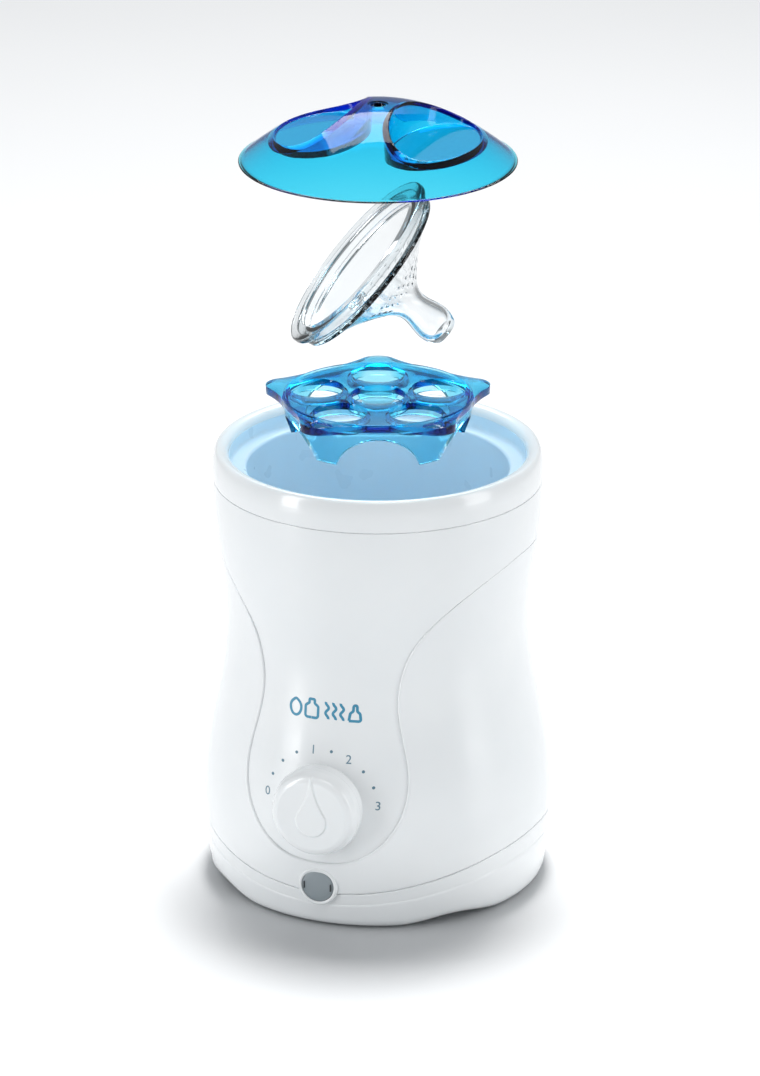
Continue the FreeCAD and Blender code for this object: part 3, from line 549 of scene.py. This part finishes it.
def rim_collar():
    foot = rounded([(54.9, SEAM_Z - 3.5, 0), (54.9, SEAM_Z + 0.06, 0), (56.9, SEAM_Z + 0.06, 0),
                    (NECK_R - 0.02, SEAM_Z + 0.12, 0.35), (RIM_R, RIM_SHOULDER_Z, 0)], 10)
    outer = quarter(RIM_R, RIM_SHOULDER_Z, CROWN_R, RIM_Z)
    inner = quarter(MOUTH_R, MOUTH_Z, CROWN_R, RIM_Z)[::-1]
    inside = [(MOUTH_R, LINER_TOP), (MOUTH_R + 1.0, LINER_TOP)]
    verts, faces = lathe_mesh(np.concatenate([foot, outer[1:], inner[1:], inside]), 288)
    obj = clean(new_object("rim_collar_skin", verts, faces, WHITE, "housing"), sharp=60)
    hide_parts("rim_collar")
    return obj


def well_liner():
    profile = rounded([(LINER_R + 1.2, LINER_TOP - 0.5, 0), (LINER_R + 1.2, LINER_TOP, 0.3),
                       (LINER_R, LINER_TOP, 0.3), (LINER_R, LEDGE_Z, 1.2), (LEDGE_R, LEDGE_Z, 1.1),
                       (WELL_R, LIP_Z, 1.4), (LIP_R, LIP_Z, 0.5), (LIP_R, WELL_Z, 0)], 7)
    verts, faces = lathe_mesh(profile, 288)
    obj = clean(new_object("well_liner_skin", verts, faces, LINER, "housing"))
    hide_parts("well_liner")
    return obj


# ======== dial ========

def drop_distance(x, y):
    """Signed distance outside the drop's outline, which is a circle drawn out to a tip."""
    sine = DROP_R / (DROP_TIP - DROP_Z)
    cosine = math.sqrt(1 - sine * sine)
    touch = (DROP_R * cosine, DROP_Z + DROP_R * sine)
    waist = (0.25 * touch[0], DROP_Z + 0.6 * (DROP_TIP - DROP_Z))
    right = spline([touch, waist, (0.0, DROP_TIP)], 60)
    low = math.atan2(touch[1] - DROP_Z, touch[0])
    sweep = np.linspace(low, -math.pi - low, 90)
    arc = np.c_[DROP_R * np.cos(sweep), DROP_Z + DROP_R * np.sin(sweep)]
    loop = np.concatenate([right[::-1], arc[1:], (right * (-1, 1))[1:]])
    return polygon_distance(x, y, loop)


def polygon_distance(x, y, loop):
    """Signed distance to a closed loop: negative inside it."""
    a, b = loop, np.roll(loop, -1, axis=0)
    px, py = np.asarray(x, float)[:, None], np.asarray(y, float)[:, None]
    ex, ey = b[:, 0] - a[:, 0], b[:, 1] - a[:, 1]
    t = np.clip(((px - a[:, 0]) * ex + (py - a[:, 1]) * ey) / np.maximum(ex ** 2 + ey ** 2, 1e-12), 0, 1)
    near = np.min(np.hypot(px - a[:, 0] - t * ex, py - a[:, 1] - t * ey), axis=1)
    cross = (a[:, 1] > py) != (b[:, 1] > py)
    hit = px < a[:, 0] + (py - a[:, 1]) * ex / np.where(ey == 0, 1e-12, ey)
    return np.where(np.sum(cross & hit, axis=1) % 2 == 1, -near, near)


def knob():
    depth = KNOB_BACK_Y - KNOB_FACE_Y
    side = rounded([(14.6, 0.0, 0), (KNOB_R, 0.0, 0.3), (KNOB_R - 0.25, 2.6, 3.0),
                    (KNOB_R - 1.5, depth - 0.75, 2.6), (KNOB_FACE_R - 0.4, depth, 2.4), (10.5, depth, 0)], 10)
    face = [(r, depth + KNOB_CROWN * (1 - (r / 10.5) ** 2)) for r in np.linspace(10.5, 0.0, 76)[1:]]
    profile = np.concatenate([side, face])
    fine = [profile[0]]
    for p in profile[1:]:
        gap = np.linalg.norm(p - fine[-1])
        parts = max(1, int(gap / 0.16))
        start = fine[-1]
        fine += [start + (p - start) * (k + 1) / parts for k in range(parts)]
    verts, faces = lathe_mesh(fine, 360)
    outside = drop_distance(verts[:, 0], verts[:, 1])
    share = np.clip((0.45 - outside) / 0.7, 0, 1)
    lift = (DROP_H - KNOB_CROWN) * share * share * (3 - 2 * share) * (verts[:, 2] > depth * 0.55)
    verts[:, 2] += lift * np.clip((verts[:, 2] - depth * 0.55) / (depth * 0.25), 0, 1)
    inner = rounded([(14.6, 0.0, 0), (13.6, depth - 2.0, 0.8), (0.0, depth - 2.0, 0)], 4)
    more, more_faces = lathe_mesh(inner, 360)
    faces += [tuple(i + len(verts) for i in f) for f in more_faces]
    verts = np.concatenate([verts, more])
    placed = on_y_axis(verts, KNOB_BACK_Y, DIAL_Z)
    obj = clean(new_object("knob_skin", placed, faces, WHITE, "dial"))
    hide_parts("knob")
    return obj


def knob_seat():
    """Round pad of the front shell that the knob turns on."""
    profile = rounded([(PAD_R, -5.0, 0), (PAD_R, 0.0, 0.4), (4.0, 0.0, 0)], 6)
    verts, faces = lathe_mesh(profile, 192)
    return clean(new_object("front_shell_pad", on_y_axis(verts, PAD_Y, DIAL_Z), faces, WHITE, "housing"))


# ======== printed marks ========

def to_front(x, z, lift):
    """A point of a print on the front panel, from its front-view place."""
    radius = panel_radius(z) + lift
    return np.c_[x, -np.sqrt(radius ** 2 - np.asarray(x) ** 2), z]


def printed(name, pieces, material):
    """Thin print: flat outlines as (points, faces) in the front view, laid on the panel."""
    verts, faces = [], []
    for points, shape in pieces:
        start = sum(len(v) for v in verts)
        verts.append(np.asarray(points, float))
        faces += [tuple(i + start for i in f) for f in shape]
    flat = np.concatenate(verts)
    outer = to_front(flat[:, 0], flat[:, 1], PRINT_T)
    inner = to_front(flat[:, 0], flat[:, 1], -0.02)
    count = len(flat)
    edges = {}
    for f in faces:
        for i in range(len(f)):
            a, b = f[i], f[(i + 1) % len(f)]
            edges[(a, b)] = edges.get((a, b), 0) + 1
    rim = [(b, a, a + count, b + count) for (a, b) in edges if (b, a) not in edges]
    back = [tuple(i + count for i in reversed(f)) for f in faces]
    return clean(new_object(name, np.concatenate([outer, inner]), faces + rim + back, material, "housing",
                            smooth=False))


def glyph(text, size, x, z):
    """A numeral as flat points and faces, centred on a place."""
    curve = bpy.data.curves.new("glyph", "FONT")
    curve.body, curve.size, curve.resolution_u = text, size, 6
    holder = bpy.data.objects.new("glyph", curve)
    mesh = bpy.data.meshes.new_from_object(holder)
    points = np.array([(v.co.x, v.co.y) for v in mesh.vertices])
    faces = [tuple(p.vertices) for p in mesh.polygons]
    bpy.data.objects.remove(holder)
    bpy.data.curves.remove(curve)
    bpy.data.meshes.remove(mesh)
    middle = (points.min(0) + points.max(0)) / 2
    return points - middle + (x, z), faces


def dot(x, z, radius, sides=20):
    a = np.arange(sides) * TAU / sides
    points = np.c_[x + radius * np.cos(a), z + radius * np.sin(a)]
    return np.concatenate([points, [(x, z)]]), [(i, (i + 1) % sides, sides) for i in range(sides)]


def stroke(points, width, closed=False):
    """A line of even width through points, as a flat ribbon."""
    p = np.asarray(points, float)
    if closed:
        tangent = np.roll(p, -1, axis=0) - np.roll(p, 1, axis=0)
    else:
        tangent = np.gradient(p, axis=0)
    tangent /= np.linalg.norm(tangent, axis=1)[:, None]
    normal = np.c_[-tangent[:, 1], tangent[:, 0]] * width / 2
    n = len(p)
    last = n if closed else n - 1
    return np.concatenate([p + normal, p - normal]), \
        [(i, i + n, (i + 1) % n + n, (i + 1) % n) for i in range(last)]


def dial_marks():
    pieces = []
    for i in range(10):
        turn = math.radians((i - 4.5) * MARK_STEP)
        x, z = MARK_R * math.sin(turn), DIAL_Z + MARK_R * math.cos(turn)
        label = {0: "0", 4: "1", 6: "2", 9: "3"}.get(i)
        if label:
            pieces.append(glyph(label, 4.4, x, z))
        else:
            pieces.append(dot(x, z, 0.55))
    return printed("dial_marks", pieces, MARKS)


def pictograms():
    """A plain row of care symbols: a drop, a bottle, rising steam and a cap."""
    z, w, pieces = 80.0, 0.95, []
    t = np.linspace(0, TAU, 41)[:-1]
    pinch = 1 - 0.45 * np.clip(np.sin(t), 0, 1) ** 3
    pieces.append(stroke(np.c_[-11 + 2.1 * np.cos(t) * pinch, z - 0.4 + 2.9 * np.sin(t)], w, True))
    bottle = rounded([(-5.6, z - 3.2, 0), (-3.2, z - 3.2, 0.9), (-3.2, z + 0.9, 0.9), (-4.6, z + 1.9, 0.5),
                      (-4.6, z + 3.3, 0.4), (-6.6, z + 3.3, 0.4), (-6.6, z + 1.9, 0.5), (-8.0, z + 0.9, 0.9),
                      (-8.0, z - 3.2, 0.9), (-5.7, z - 3.2, 0)], 5)
    pieces.append(stroke(bottle + (0.8, 0), w))
    rise = np.linspace(-3.0, 3.0, 25)
    for x in (0.9, 3.6, 6.3):
        pieces.append(stroke(np.c_[x + 0.55 * np.sin(rise * 1.7), z + rise], w))
    cap = rounded([(8.8, z - 2.9, 0), (13.0, z - 2.9, 0.7), (12.6, z - 0.2, 0.9), (11.6, z + 0.6, 0.7),
                   (11.5, z + 2.7, 0.8), (10.3, z + 2.7, 0.8), (10.2, z + 0.6, 0.7), (9.2, z - 0.2, 0.9),
                   (8.8, z - 2.8, 0)], 5)
    pieces.append(stroke(cap, w))
    return printed("care_symbols", pieces, PRINT)


# ======== lamp ========

def lamp():
    lens = rounded([(LENS_R, -3.8, 0), (LENS_R, -0.25, 0.5), (LENS_R - 1.6, 0.0, 3.0), (0.0, 0.25, 0)], 8)
    verts, faces = lathe_mesh(lens, 128)
    base, base_faces = lathe_mesh([(LENS_R, -3.8), (0.0, -3.8)], 128)
    faces += [tuple(i + len(verts) for i in f) for f in base_faces]
    verts = np.concatenate([verts, base])
    obj = clean(new_object("lamp_lens_dome", on_y_axis(verts, LAMP_Y, LAMP_Z), faces, LENS, "housing"))
    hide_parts("lamp_lens")
    ring = rounded([(BEZEL_R + 0.1, -2.6, 0), (BEZEL_R, -0.45, 0.7), (BEZEL_R - 0.5, 0.08, 0.5),
                    (LENS_R + 0.12, -0.1, 0.3), (LENS_R + 0.06, -3.0, 0)], 8)
    verts, faces = lathe_mesh(ring, 160)
    obj = clean(new_object("lamp_bezel_ring", on_y_axis(verts, LAMP_Y, LAMP_Z), faces, WHITE, "housing"))
    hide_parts("lamp_bezel")
    for side, name in ((-1, "left"), (1, "right")):
        clip = rounded([(0, -1.3, 0), (0.24, -1.3, 0.12), (0.24, 1.3, 0.12), (-0.24, 1.3, 0.12),
                        (-0.24, -1.3, 0.12), (0, -1.3, 0)], 4)[:-1]
        n = len(clip)
        front = np.c_[clip[:, 0] + side * (LENS_R - 0.9), clip[:, 1], np.full(n, 0.22)]
        rear = front - (0, 0, 1.2)
        faces = [tuple(range(n)), tuple(range(2 * n - 1, n - 1, -1))]
        faces += [(i, (i + 1) % n, (i + 1) % n + n, i + n) for i in range(n)]
        verts = on_y_axis(np.concatenate([front, rear]), LAMP_Y, LAMP_Z)
        clean(new_object("lamp_clip_" + name, verts, faces, DARK, "housing", smooth=False))


# ======== lid ========

def grip_loop(grow, side, count=180):
    t = np.arange(count) * TAU / count
    x = GRIP_X + (GRIP_HALF_X + grow) * np.cos(t)
    y = (GRIP_HALF_Y + grow) * np.sin(t) * (1 - GRIP_SKEW * np.cos(t))
    return np.c_[side * x, y]


GRIP_LOOPS = (-2.0, -1.1, -0.75, -0.5, -0.3, -0.15, 0.0, 0.12, 0.25, 0.4, 0.55, 0.9, 1.3, 1.6, 1.8, 1.95,
              2.1, 2.3, 2.6, 3.2)


def lid_plan():
    """Plan of the lid as triangles that follow its rim, its vent and the walls of its recesses."""
    loops = []
    for side in (-1, 1):
        loops += [grip_loop(grow, side) for grow in GRIP_LOOPS]
    loops += [circle(0, 0, LID_R - inset, 300) for inset in (0, 0.15, 0.4, 0.8, 1.3, 1.9, 2.6)]
    loops += [circle(0, 0, VENT_BORE + grow, 72) for grow in (0, 0.15, 0.35)]
    loops += [circle(0, 0, VENT_R + grow, 72) for grow in (-0.3, -0.15, 0, 0.15, 0.6)]
    points, edges = [], []
    for loop in loops:
        inside = np.hypot(loop[:, 0], loop[:, 1]) <= LID_R + 1e-6
        start = len(points)
        points += [tuple(p) for p in loop]
        n = len(loop)
        edges += [(start + i, start + (i + 1) % n) for i in range(n) if inside[i] and inside[(i + 1) % n]]
    step = 1.5
    side = int(LID_R / step) + 1
    grid = np.array([(i * step + (j % 2) * step / 2, j * step * 0.866) for i in range(-side, side + 1)
                     for j in range(-side - 6, side + 7)])
    radius = np.hypot(grid[:, 0], grid[:, 1])
    near = [np.abs(polygon_distance(grid[:, 0], grid[:, 1], grip_loop(0.6, s))) for s in (-1, 1)]
    keep = (radius < LID_R - 3.2) & (radius > VENT_R + 1.2) & (np.minimum(*near) >= 2.59)
    points += [tuple(p) for p in grid[keep]]
    out = delaunay_2d_cdt([Vector(p) for p in points], edges, [], 0, 1e-5)
    plan = np.array([(v.x, v.y) for v in out[0]])
    triangles = []
    for f in out[2]:
        middle = plan[list(f)].mean(axis=0)
        if VENT_BORE < math.hypot(*middle) < LID_R:
            triangles.append(tuple(f))
    return plan, triangles


def lid():
    plan, triangles = lid_plan()
    x, y = plan[:, 0], plan[:, 1]
    r = np.hypot(x, y)
    d = np.minimum(*[polygon_distance(x, y, grip_loop(0.0, s, 360)) for s in (-1, 1)])
    dome = LID_RISE * (1 - (r / LID_R) ** 2)
    edge = np.clip(0.45 * (dome - GRIP_FLOOR), 0.08, 0.55)
    outside = dome - roll(np.clip(d, 0, None), edge)
    floor = GRIP_FLOOR + roll(np.clip(-d - 0.25, 0, None), np.minimum(edge, 0.5))
    wall = np.clip(-d / 0.25, 0, 1)
    top = np.where(d >= 0, outside, (1 - wall) * (dome - edge) + wall * (GRIP_FLOOR + np.minimum(edge, 0.5)))
    top = np.where(d < -0.25, floor, top)
    vent = np.clip((VENT_R + 0.15 - r) / 0.3, 0, 1)
    top -= VENT_SINK * vent * vent * (3 - 2 * vent) + roll(r - VENT_BORE, 0.3) * (r < VENT_R - 0.3)
    rim = roll(LID_R - r, 0.35)
    top = np.maximum(top, 0.5 - 0.7 * rim)
    inner_r = LID_R - LID_T
    under = (LID_RISE - LID_T) * (1 - (r / inner_r) ** 2)
    below = GRIP_FLOOR - GRIP_T
    share = np.clip((2.1 - d) / 0.5, 0, 1)
    bottom = np.where(under > below, under + (below - under) * share, np.minimum(under, top - 1.2))
    bottom = np.where(d < 1.6, np.minimum(bottom, np.where(under > below, below, under)), bottom)
    bottom = np.maximum(np.minimum(bottom, top - 0.4), 0.0) + 0.5 * rim
    n = len(plan)
    verts = np.concatenate([np.c_[x, y, top], np.c_[x, y, bottom]])
    faces = [f for f in triangles] + [tuple(i + n for i in reversed(f)) for f in triangles]
    edges = {}
    for f in triangles:
        for i in range(3):
            edges[(f[i], f[(i + 1) % 3])] = True
    faces += [(b, a, a + n, b + n) for (a, b) in edges if (b, a) not in edges]
    verts[:, 2] += LID_Z
    obj = clean(new_object("lid_clear", verts, faces, BLUE, "lid"), sharp=50)
    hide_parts("lid")
    return obj


# ======== rack ========

def turned(points, angle):
    """Points turned about Z."""
    x, y = points[:, 0], points[:, 1]
    across = x * math.cos(angle) - y * math.sin(angle)
    along = x * math.sin(angle) + y * math.cos(angle)
    return np.c_[across, along, points[:, 2]]


def arc(centre, radius, start, end, count):
    """Points of an arc between two of its points, the short way round."""
    centre = np.asarray(centre, float)
    first, last = (math.atan2(*(np.asarray(p) - centre)[::-1]) for p in (start, end))
    turn = (last - first + math.pi) % TAU - math.pi
    t = first + turn * np.linspace(0, 1, count)
    return np.c_[centre[0] + radius * np.cos(t), centre[1] + radius * np.sin(t)]


def polar(radius, angle):
    return np.array((radius * math.cos(angle), radius * math.sin(angle)))


def star_outline():
    """Outline of the rack's plate: a disc with five round ears, joined to it by long hollow fillets."""
    far = DISC_R + FILLET_R
    swing = math.acos((far ** 2 + EAR_AT ** 2 - (EAR_R + FILLET_R) ** 2) / (2 * far * EAR_AT))
    out = []
    for i in range(5):
        at = math.radians(FIFTH * i)
        ear, top = polar(EAR_AT, at), polar(EAR_AT + EAR_R, at)
        before, after = polar(far, at - swing), polar(far, at + swing)
        leave, arrive = (ear + (h - ear) * EAR_R / (EAR_R + FILLET_R) for h in (before, after))
        start, end = before * DISC_R / far, after * DISC_R / far
        following = polar(DISC_R, at + math.radians(FIFTH) - swing)
        runs = ((before, FILLET_R, start, leave, 14), (ear, EAR_R, leave, top, 14),
                (ear, EAR_R, top, arrive, 14), (after, FILLET_R, arrive, end, 14),
                ((0, 0), DISC_R, end, following, 8))
        out += [arc(*run)[:-1] for run in runs]
    return np.concatenate(out)


def prism(name, outline_points, holes, z0, z1):
    """Plate between two heights with round holes, as a closed mesh."""
    points, edges = [], []
    for loop in [outline_points] + holes:
        start, n = len(points), len(loop)
        points += [tuple(p) for p in loop]
        edges += [(start + i, start + (i + 1) % n) for i in range(n)]
    out = delaunay_2d_cdt([Vector(p) for p in points], edges, [], 0, 1e-6)
    plan = np.array([(v.x, v.y) for v in out[0]])
    centres = np.array([plan[list(f)].mean(axis=0) for f in out[2]])
    keep = polygon_distance(centres[:, 0], centres[:, 1], outline_points) < 0
    for loop in holes:
        keep &= polygon_distance(centres[:, 0], centres[:, 1], np.asarray(loop)) > 0
    flat = [tuple(f) for f, k in zip(out[2], keep) if k]
    n = len(plan)
    faces = flat + [tuple(i + n for i in reversed(f)) for f in flat]
    seen = {(f[i], f[(i + 1) % 3]) for f in flat for i in range(3)}
    faces += [(b, a, a + n, b + n) for (a, b) in seen if (b, a) not in seen]
    verts = np.concatenate([np.c_[plan, np.full(n, z1)], np.c_[plan, np.full(n, z0)]])
    return scratch(name, verts, faces)


def scratch(name, verts, faces):
    mesh = bpy.data.meshes.new(name)
    mesh.from_pydata([tuple(v) for v in np.asarray(verts, float) * MM], [], [tuple(f) for f in faces])
    obj = bpy.data.objects.new(name, mesh)
    bpy.context.scene.collection.objects.link(obj)
    return clean(obj)


def circle(x, y, radius, count=96):
    a = np.arange(count) * TAU / count
    return np.c_[x + radius * np.cos(a), y + radius * np.sin(a)]


def boolean(target, tool, kind):
    modifier = target.modifiers.new(kind, "BOOLEAN")
    modifier.operation, modifier.object, modifier.solver = kind, tool, "EXACT"
    apply_modifiers(target)
    bpy.data.objects.remove(tool)


def apply_modifiers(obj):
    graph = bpy.context.evaluated_depsgraph_get()
    mesh = bpy.data.meshes.new_from_object(obj.evaluated_get(graph))
    old = obj.data
    obj.modifiers.clear()
    obj.data = mesh
    bpy.data.meshes.remove(old)


def rack():
    places = [(0.0, 0.0)] + [tuple(polar(HOLE_AT, math.radians(FIFTH * i))) for i in range(5)]
    low = RACK_H - RACK_T
    body = prism("rack_plate", star_outline(), [circle(x, y, HOLE_R) for x, y in places], low, RACK_H)
    crest = RACK_H + RIDGE_RISE
    section = [(RIDGE_R - 0.5, RACK_H - 0.4), (RIDGE_R - 0.4, crest - 0.15), (RIDGE_R - 0.2, crest),
               (RIDGE_R + 0.2, crest), (RIDGE_R + 0.4, crest - 0.15), (RIDGE_R + 0.5, RACK_H - 0.4)]
    ridge = scratch("rack_ridge", *lathe_mesh(section, 180, closed=True))
    boolean(body, ridge, "UNION")
    for x, y in places:
        hole = circle(x, y, HOLE_R)
        collar = prism("rack_collar", circle(x, y, COLLAR_R), [hole], RACK_H - COLLAR_H, low + 0.3)
        boolean(body, collar, "UNION")
    section = [(SKIRT_FOOT_R, 0), (SKIRT_TOP_R, low + 0.2), (SKIRT_TOP_R - SKIRT_T, low + 0.2),
               (SKIRT_FOOT_R - SKIRT_T, 0)]
    skirt = scratch("rack_skirt", *lathe_mesh(section, 180, closed=True))
    drop = GAP_TOP + 1
    arc_r = (GAP_HALF ** 2 + drop ** 2) / (2 * drop)
    spread = math.asin(GAP_HALF / arc_r)
    for i in range(5):
        turn = math.radians(FIFTH * (i + 0.5))
        t = np.linspace(-spread, spread, 31)
        shape = np.c_[arc_r * np.sin(t), GAP_TOP - arc_r + arc_r * np.cos(t)]
        n = len(shape)
        rings = []
        for reach in (8.0, 60.0):
            rings.append(np.c_[np.full(n, reach), shape])
        pts = turned(np.concatenate(rings), turn)
        faces = [tuple(range(n)), tuple(range(2 * n - 1, n - 1, -1))]
        faces += [(k, (k + 1) % n, (k + 1) % n + n, k + n) for k in range(n)]
        boolean(skirt, scratch("gap", pts, faces), "DIFFERENCE")
    boolean(body, skirt, "UNION")
    bevel = body.modifiers.new("bevel", "BEVEL")
    bevel.width, bevel.segments = 0.28 * MM, 3
    bevel.limit_method, bevel.angle_limit = "ANGLE", math.radians(35)
    bevel.use_clamp_overlap = True
    apply_modifiers(body)
    turn = math.radians(RACK_TURN)
    co = np.array([v.co for v in body.data.vertices]) / MM
    faces = [tuple(p.vertices) for p in body.data.polygons]
    bpy.data.objects.remove(body)
    verts = turned(co, turn) + (0, 0, RACK_Z)
    obj = clean(new_object("rack_clear", verts, faces, RACK_BLUE, "rack"), sharp=40)
    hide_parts("rack")
    return obj


# ======== teat ========

def lean(verts):
    """From the teat's own axis to its leaning place."""
    tilt, v = math.radians(90 + TEAT_TILT), np.asarray(verts, float)
    x = v[:, 0] * math.cos(tilt) + v[:, 2] * math.sin(tilt)
    z = -v[:, 0] * math.sin(tilt) + v[:, 2] * math.cos(tilt)
    return turned(np.c_[x, v[:, 1], z], math.radians(TEAT_HEADING)) + np.array(TEAT_AT)


def teat():
    flange = rounded([(28.5, 0.0, 0), (34.7, 0.0, 0.8), (34.7, 2.4, 0.8), (31.5, 2.6, 0.3), (31.5, 4.8, 0.3),
                      (32.5, 4.9, 0.5), (32.3, 6.7, 0.7), (29.8, 6.9, 0)], 6)
    cone = spline([(29.8, 6.9), (25.5, 9.3), (17.6, 14.0), (11.5, 18.4), (7.2, 22.4), (5.6, 26.0),
                   (5.8, 29.5), (6.7, 34.0), (6.5, 38.0), (5.6, 40.6)], 110)
    tip = rounded([(5.6, 40.6, 0), (4.9, 41.6, 0.7), (0.4, 41.6, 0.1), (0.4, 40.2, 0)], 5)
    inner = spline([(0.4, 40.2), (3.2, 39.6), (5.0, 37.2), (5.2, 34.0), (4.3, 29.5), (4.1, 26.0), (5.6, 21.8),
                    (10.2, 17.0), (16.6, 12.2), (24.4, 7.6), (28.0, 5.6)], 80)
    mouth = rounded([(28.0, 5.6, 0), (28.6, 5.0, 0.5), (28.5, 0.0, 0.6), (29.0, 0.0, 0)], 4)
    profile = np.concatenate([flange[1:], cone[1:], tip[1:], inner[1:], mouth[1:-1]])
    verts, faces = lathe_mesh(profile, 320, closed=True)
    obj = clean(new_object("teat_clear", lean(dimple(verts)), faces, SILICONE, "teat"))
    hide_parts("teat")
    return obj


def dimple(verts):
    """Four rows of small oval dimples around the shoulder of the cone."""
    angle = np.arctan2(verts[:, 1], verts[:, 0])
    radius = np.hypot(verts[:, 0], verts[:, 1])
    for row, (r, z) in enumerate(((10.5, 19.3), (12.7, 17.5), (15.1, 15.8), (17.6, 14.0))):
        count = 16 + 3 * row
        for k in range(count):
            a = TAU * (k + 0.5 * (row % 2)) / count
            across = radius * np.sin(angle - a)
            along = np.hypot(radius * np.cos(angle - a) - r, verts[:, 2] - z)
            share = np.clip(1 - (across / 0.75) ** 2 - (along / 1.25) ** 2, 0, 1)
            verts[:, 2] -= 0.55 * np.sqrt(share) * share
    return verts


def teat_valve():
    profile = rounded([(0.0, 9.7, 0), (1.15, 9.7, 0.3), (1.15, 5.2, 0.2), (2.2, 5.1, 0.2), (2.4, 4.7, 0.15),
                       (2.7, 5.1, 0.2), (VALVE_R, 5.1, 0.3), (VALVE_R, 3.3, 0.4), (1.6, 3.2, 0.2),
                       (1.3, 4.2, 0.2), (0.0, 4.2, 0)], 5)
    verts, faces = lathe_mesh(profile, 72)
    verts += (VALVE_X, VALVE_Y, 0.0)
    obj = clean(new_object("teat_valve_clear", lean(verts), faces, SILICONE, "teat"))
    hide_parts("teat_valve")
    return obj


# ======== studio ========

def area_light(name, place, size, power, target=(0, 0, 0.13)):
    light = bpy.data.lights.new(name, "AREA")
    light.shape, light.size, light.size_y = "RECTANGLE", size[0], size[1]
    light.energy = power
    obj = bpy.data.objects.new(name, light)
    obj.location = place
    obj.rotation_euler = (Vector(target) - Vector(place)).to_track_quat("-Z", "Y").to_euler()
    bpy.context.scene.collection.objects.link(obj)
    return obj


def direction(azimuth, elevation):
    """Unit vector towards a view angle: azimuth 0 is the front, and elevation looks down."""
    a, e = math.radians(azimuth), math.radians(elevation)
    return Vector((math.cos(e) * math.sin(a), -math.cos(e) * math.cos(a), math.sin(e)))


def around_camera(azimuth, elevation, distance):
    """A place given by its angle from the camera's side, its height angle and its distance."""
    return Vector((0, 0, 0.12)) + distance * direction(CAMERA_AZIMUTH + azimuth, elevation)


def studio():
    mesh = bpy.data.meshes.new("floor")
    half = 6.0
    corners = [(-half, -half, 0), (half, -half, 0), (half, half, 0), (-half, half, 0)]
    mesh.from_pydata(corners, [], [(0, 1, 2, 3)])
    floor = bpy.data.objects.new("floor", mesh)
    bpy.context.scene.collection.objects.link(floor)
    n = Nodes("floor_white").set(Specular_IOR_Level=0.1)
    n.ramp(n.noise(3.0), (0.93, 0.935, 0.94), (0.95, 0.955, 0.96), "Base Color")
    n.set(Roughness=0.8)
    mesh.materials.append(n.material)
    studio_world()


def lamps():
    """One lamp gives the floor its single soft shadow, the others shape the object alone."""
    pieces = [o for o in bpy.context.scene.objects if o.type == "MESH" and o.name != "floor"]
    clear = ("lid_clear", "rack_clear", "teat_clear", "teat_valve_clear")
    solid = collected("solid_pieces", [o for o in pieces if o.name not in clear])
    shine_on(collected("floor_alone", [bpy.data.objects["floor"]]), solid,
             [area_light("floor_lamp", around_camera(172, 76, 1.6), (0.4, 0.4), 26.0)])
    shine_on(collected("object_alone", pieces), solid,
             [area_light("key", around_camera(180, 54, 1.45), (1.0, 0.8), 14.5),
              area_light("left", around_camera(-60, 10, 1.0), (0.22, 1.0), 4.2),
              area_light("right", around_camera(70, 10, 1.0), (0.34, 1.0), 3.9),
              area_light("front", around_camera(8, 62, 1.3), (0.7, 0.5), 3.4)])


def collected(name, objects):
    collection = bpy.data.collections.new(name)
    for obj in objects:
        collection.objects.link(obj)
    return collection


def shine_on(receivers, blockers, lights):
    for light in lights:
        light.light_linking.receiver_collection = receivers
        light.light_linking.blocker_collection = blockers


def studio_world():
    """White room that is darker on the camera's side, so that clear and glossy edges draw."""
    world = bpy.data.worlds.new("studio")
    bpy.context.scene.world = world
    world.use_nodes = True
    tree = world.node_tree
    coordinate = tree.nodes.new("ShaderNodeTexCoord")
    towards = tree.nodes.new("ShaderNodeVectorMath")
    towards.operation = "DOT_PRODUCT"
    a = math.radians(CAMERA_AZIMUTH)
    towards.inputs[1].default_value = (math.sin(a), -math.cos(a), -0.5)
    ramp = tree.nodes.new("ShaderNodeValToRGB")
    ramp.color_ramp.elements[0].position = 0.25
    ramp.color_ramp.elements[0].color = (0.34, 0.35, 0.36, 1)
    ramp.color_ramp.elements[1].position = 0.85
    ramp.color_ramp.elements[1].color = (0.085, 0.10, 0.105, 1)
    tree.links.new(coordinate.outputs["Generated"], towards.inputs[0])
    tree.links.new(towards.outputs["Value"], ramp.inputs["Fac"])
    tree.links.new(ramp.outputs["Color"], tree.nodes["Background"].inputs["Color"])
    tree.nodes["Background"].inputs["Strength"].default_value = 1.0


def camera():
    data = bpy.data.cameras.new("camera")
    data.lens, data.sensor_width, data.shift_x = CAMERA_LENS, 36.0, CAMERA_SHIFT
    data.clip_start, data.clip_end = 0.05, 50.0
    obj = bpy.data.objects.new("camera", data)
    aim = Vector((0, 0, CAMERA_AIM_Z * MM))
    obj.location = aim + CAMERA_DISTANCE * MM * direction(CAMERA_AZIMUTH, CAMERA_ELEVATION)
    obj.rotation_euler = (aim - obj.location).to_track_quat("-Z", "Y").to_euler()
    bpy.context.scene.collection.objects.link(obj)
    bpy.context.scene.camera = obj


camera()
studio()
dress_cad()
side_shell()
front_shell()
base_pan()
rim_collar()
well_liner()
knob_seat()
knob()
dial_marks()
pictograms()
lamp()
lid()
rack()
teat()
teat_valve()
lamps()
bpy.context.scene.view_settings.view_transform = "Standard"
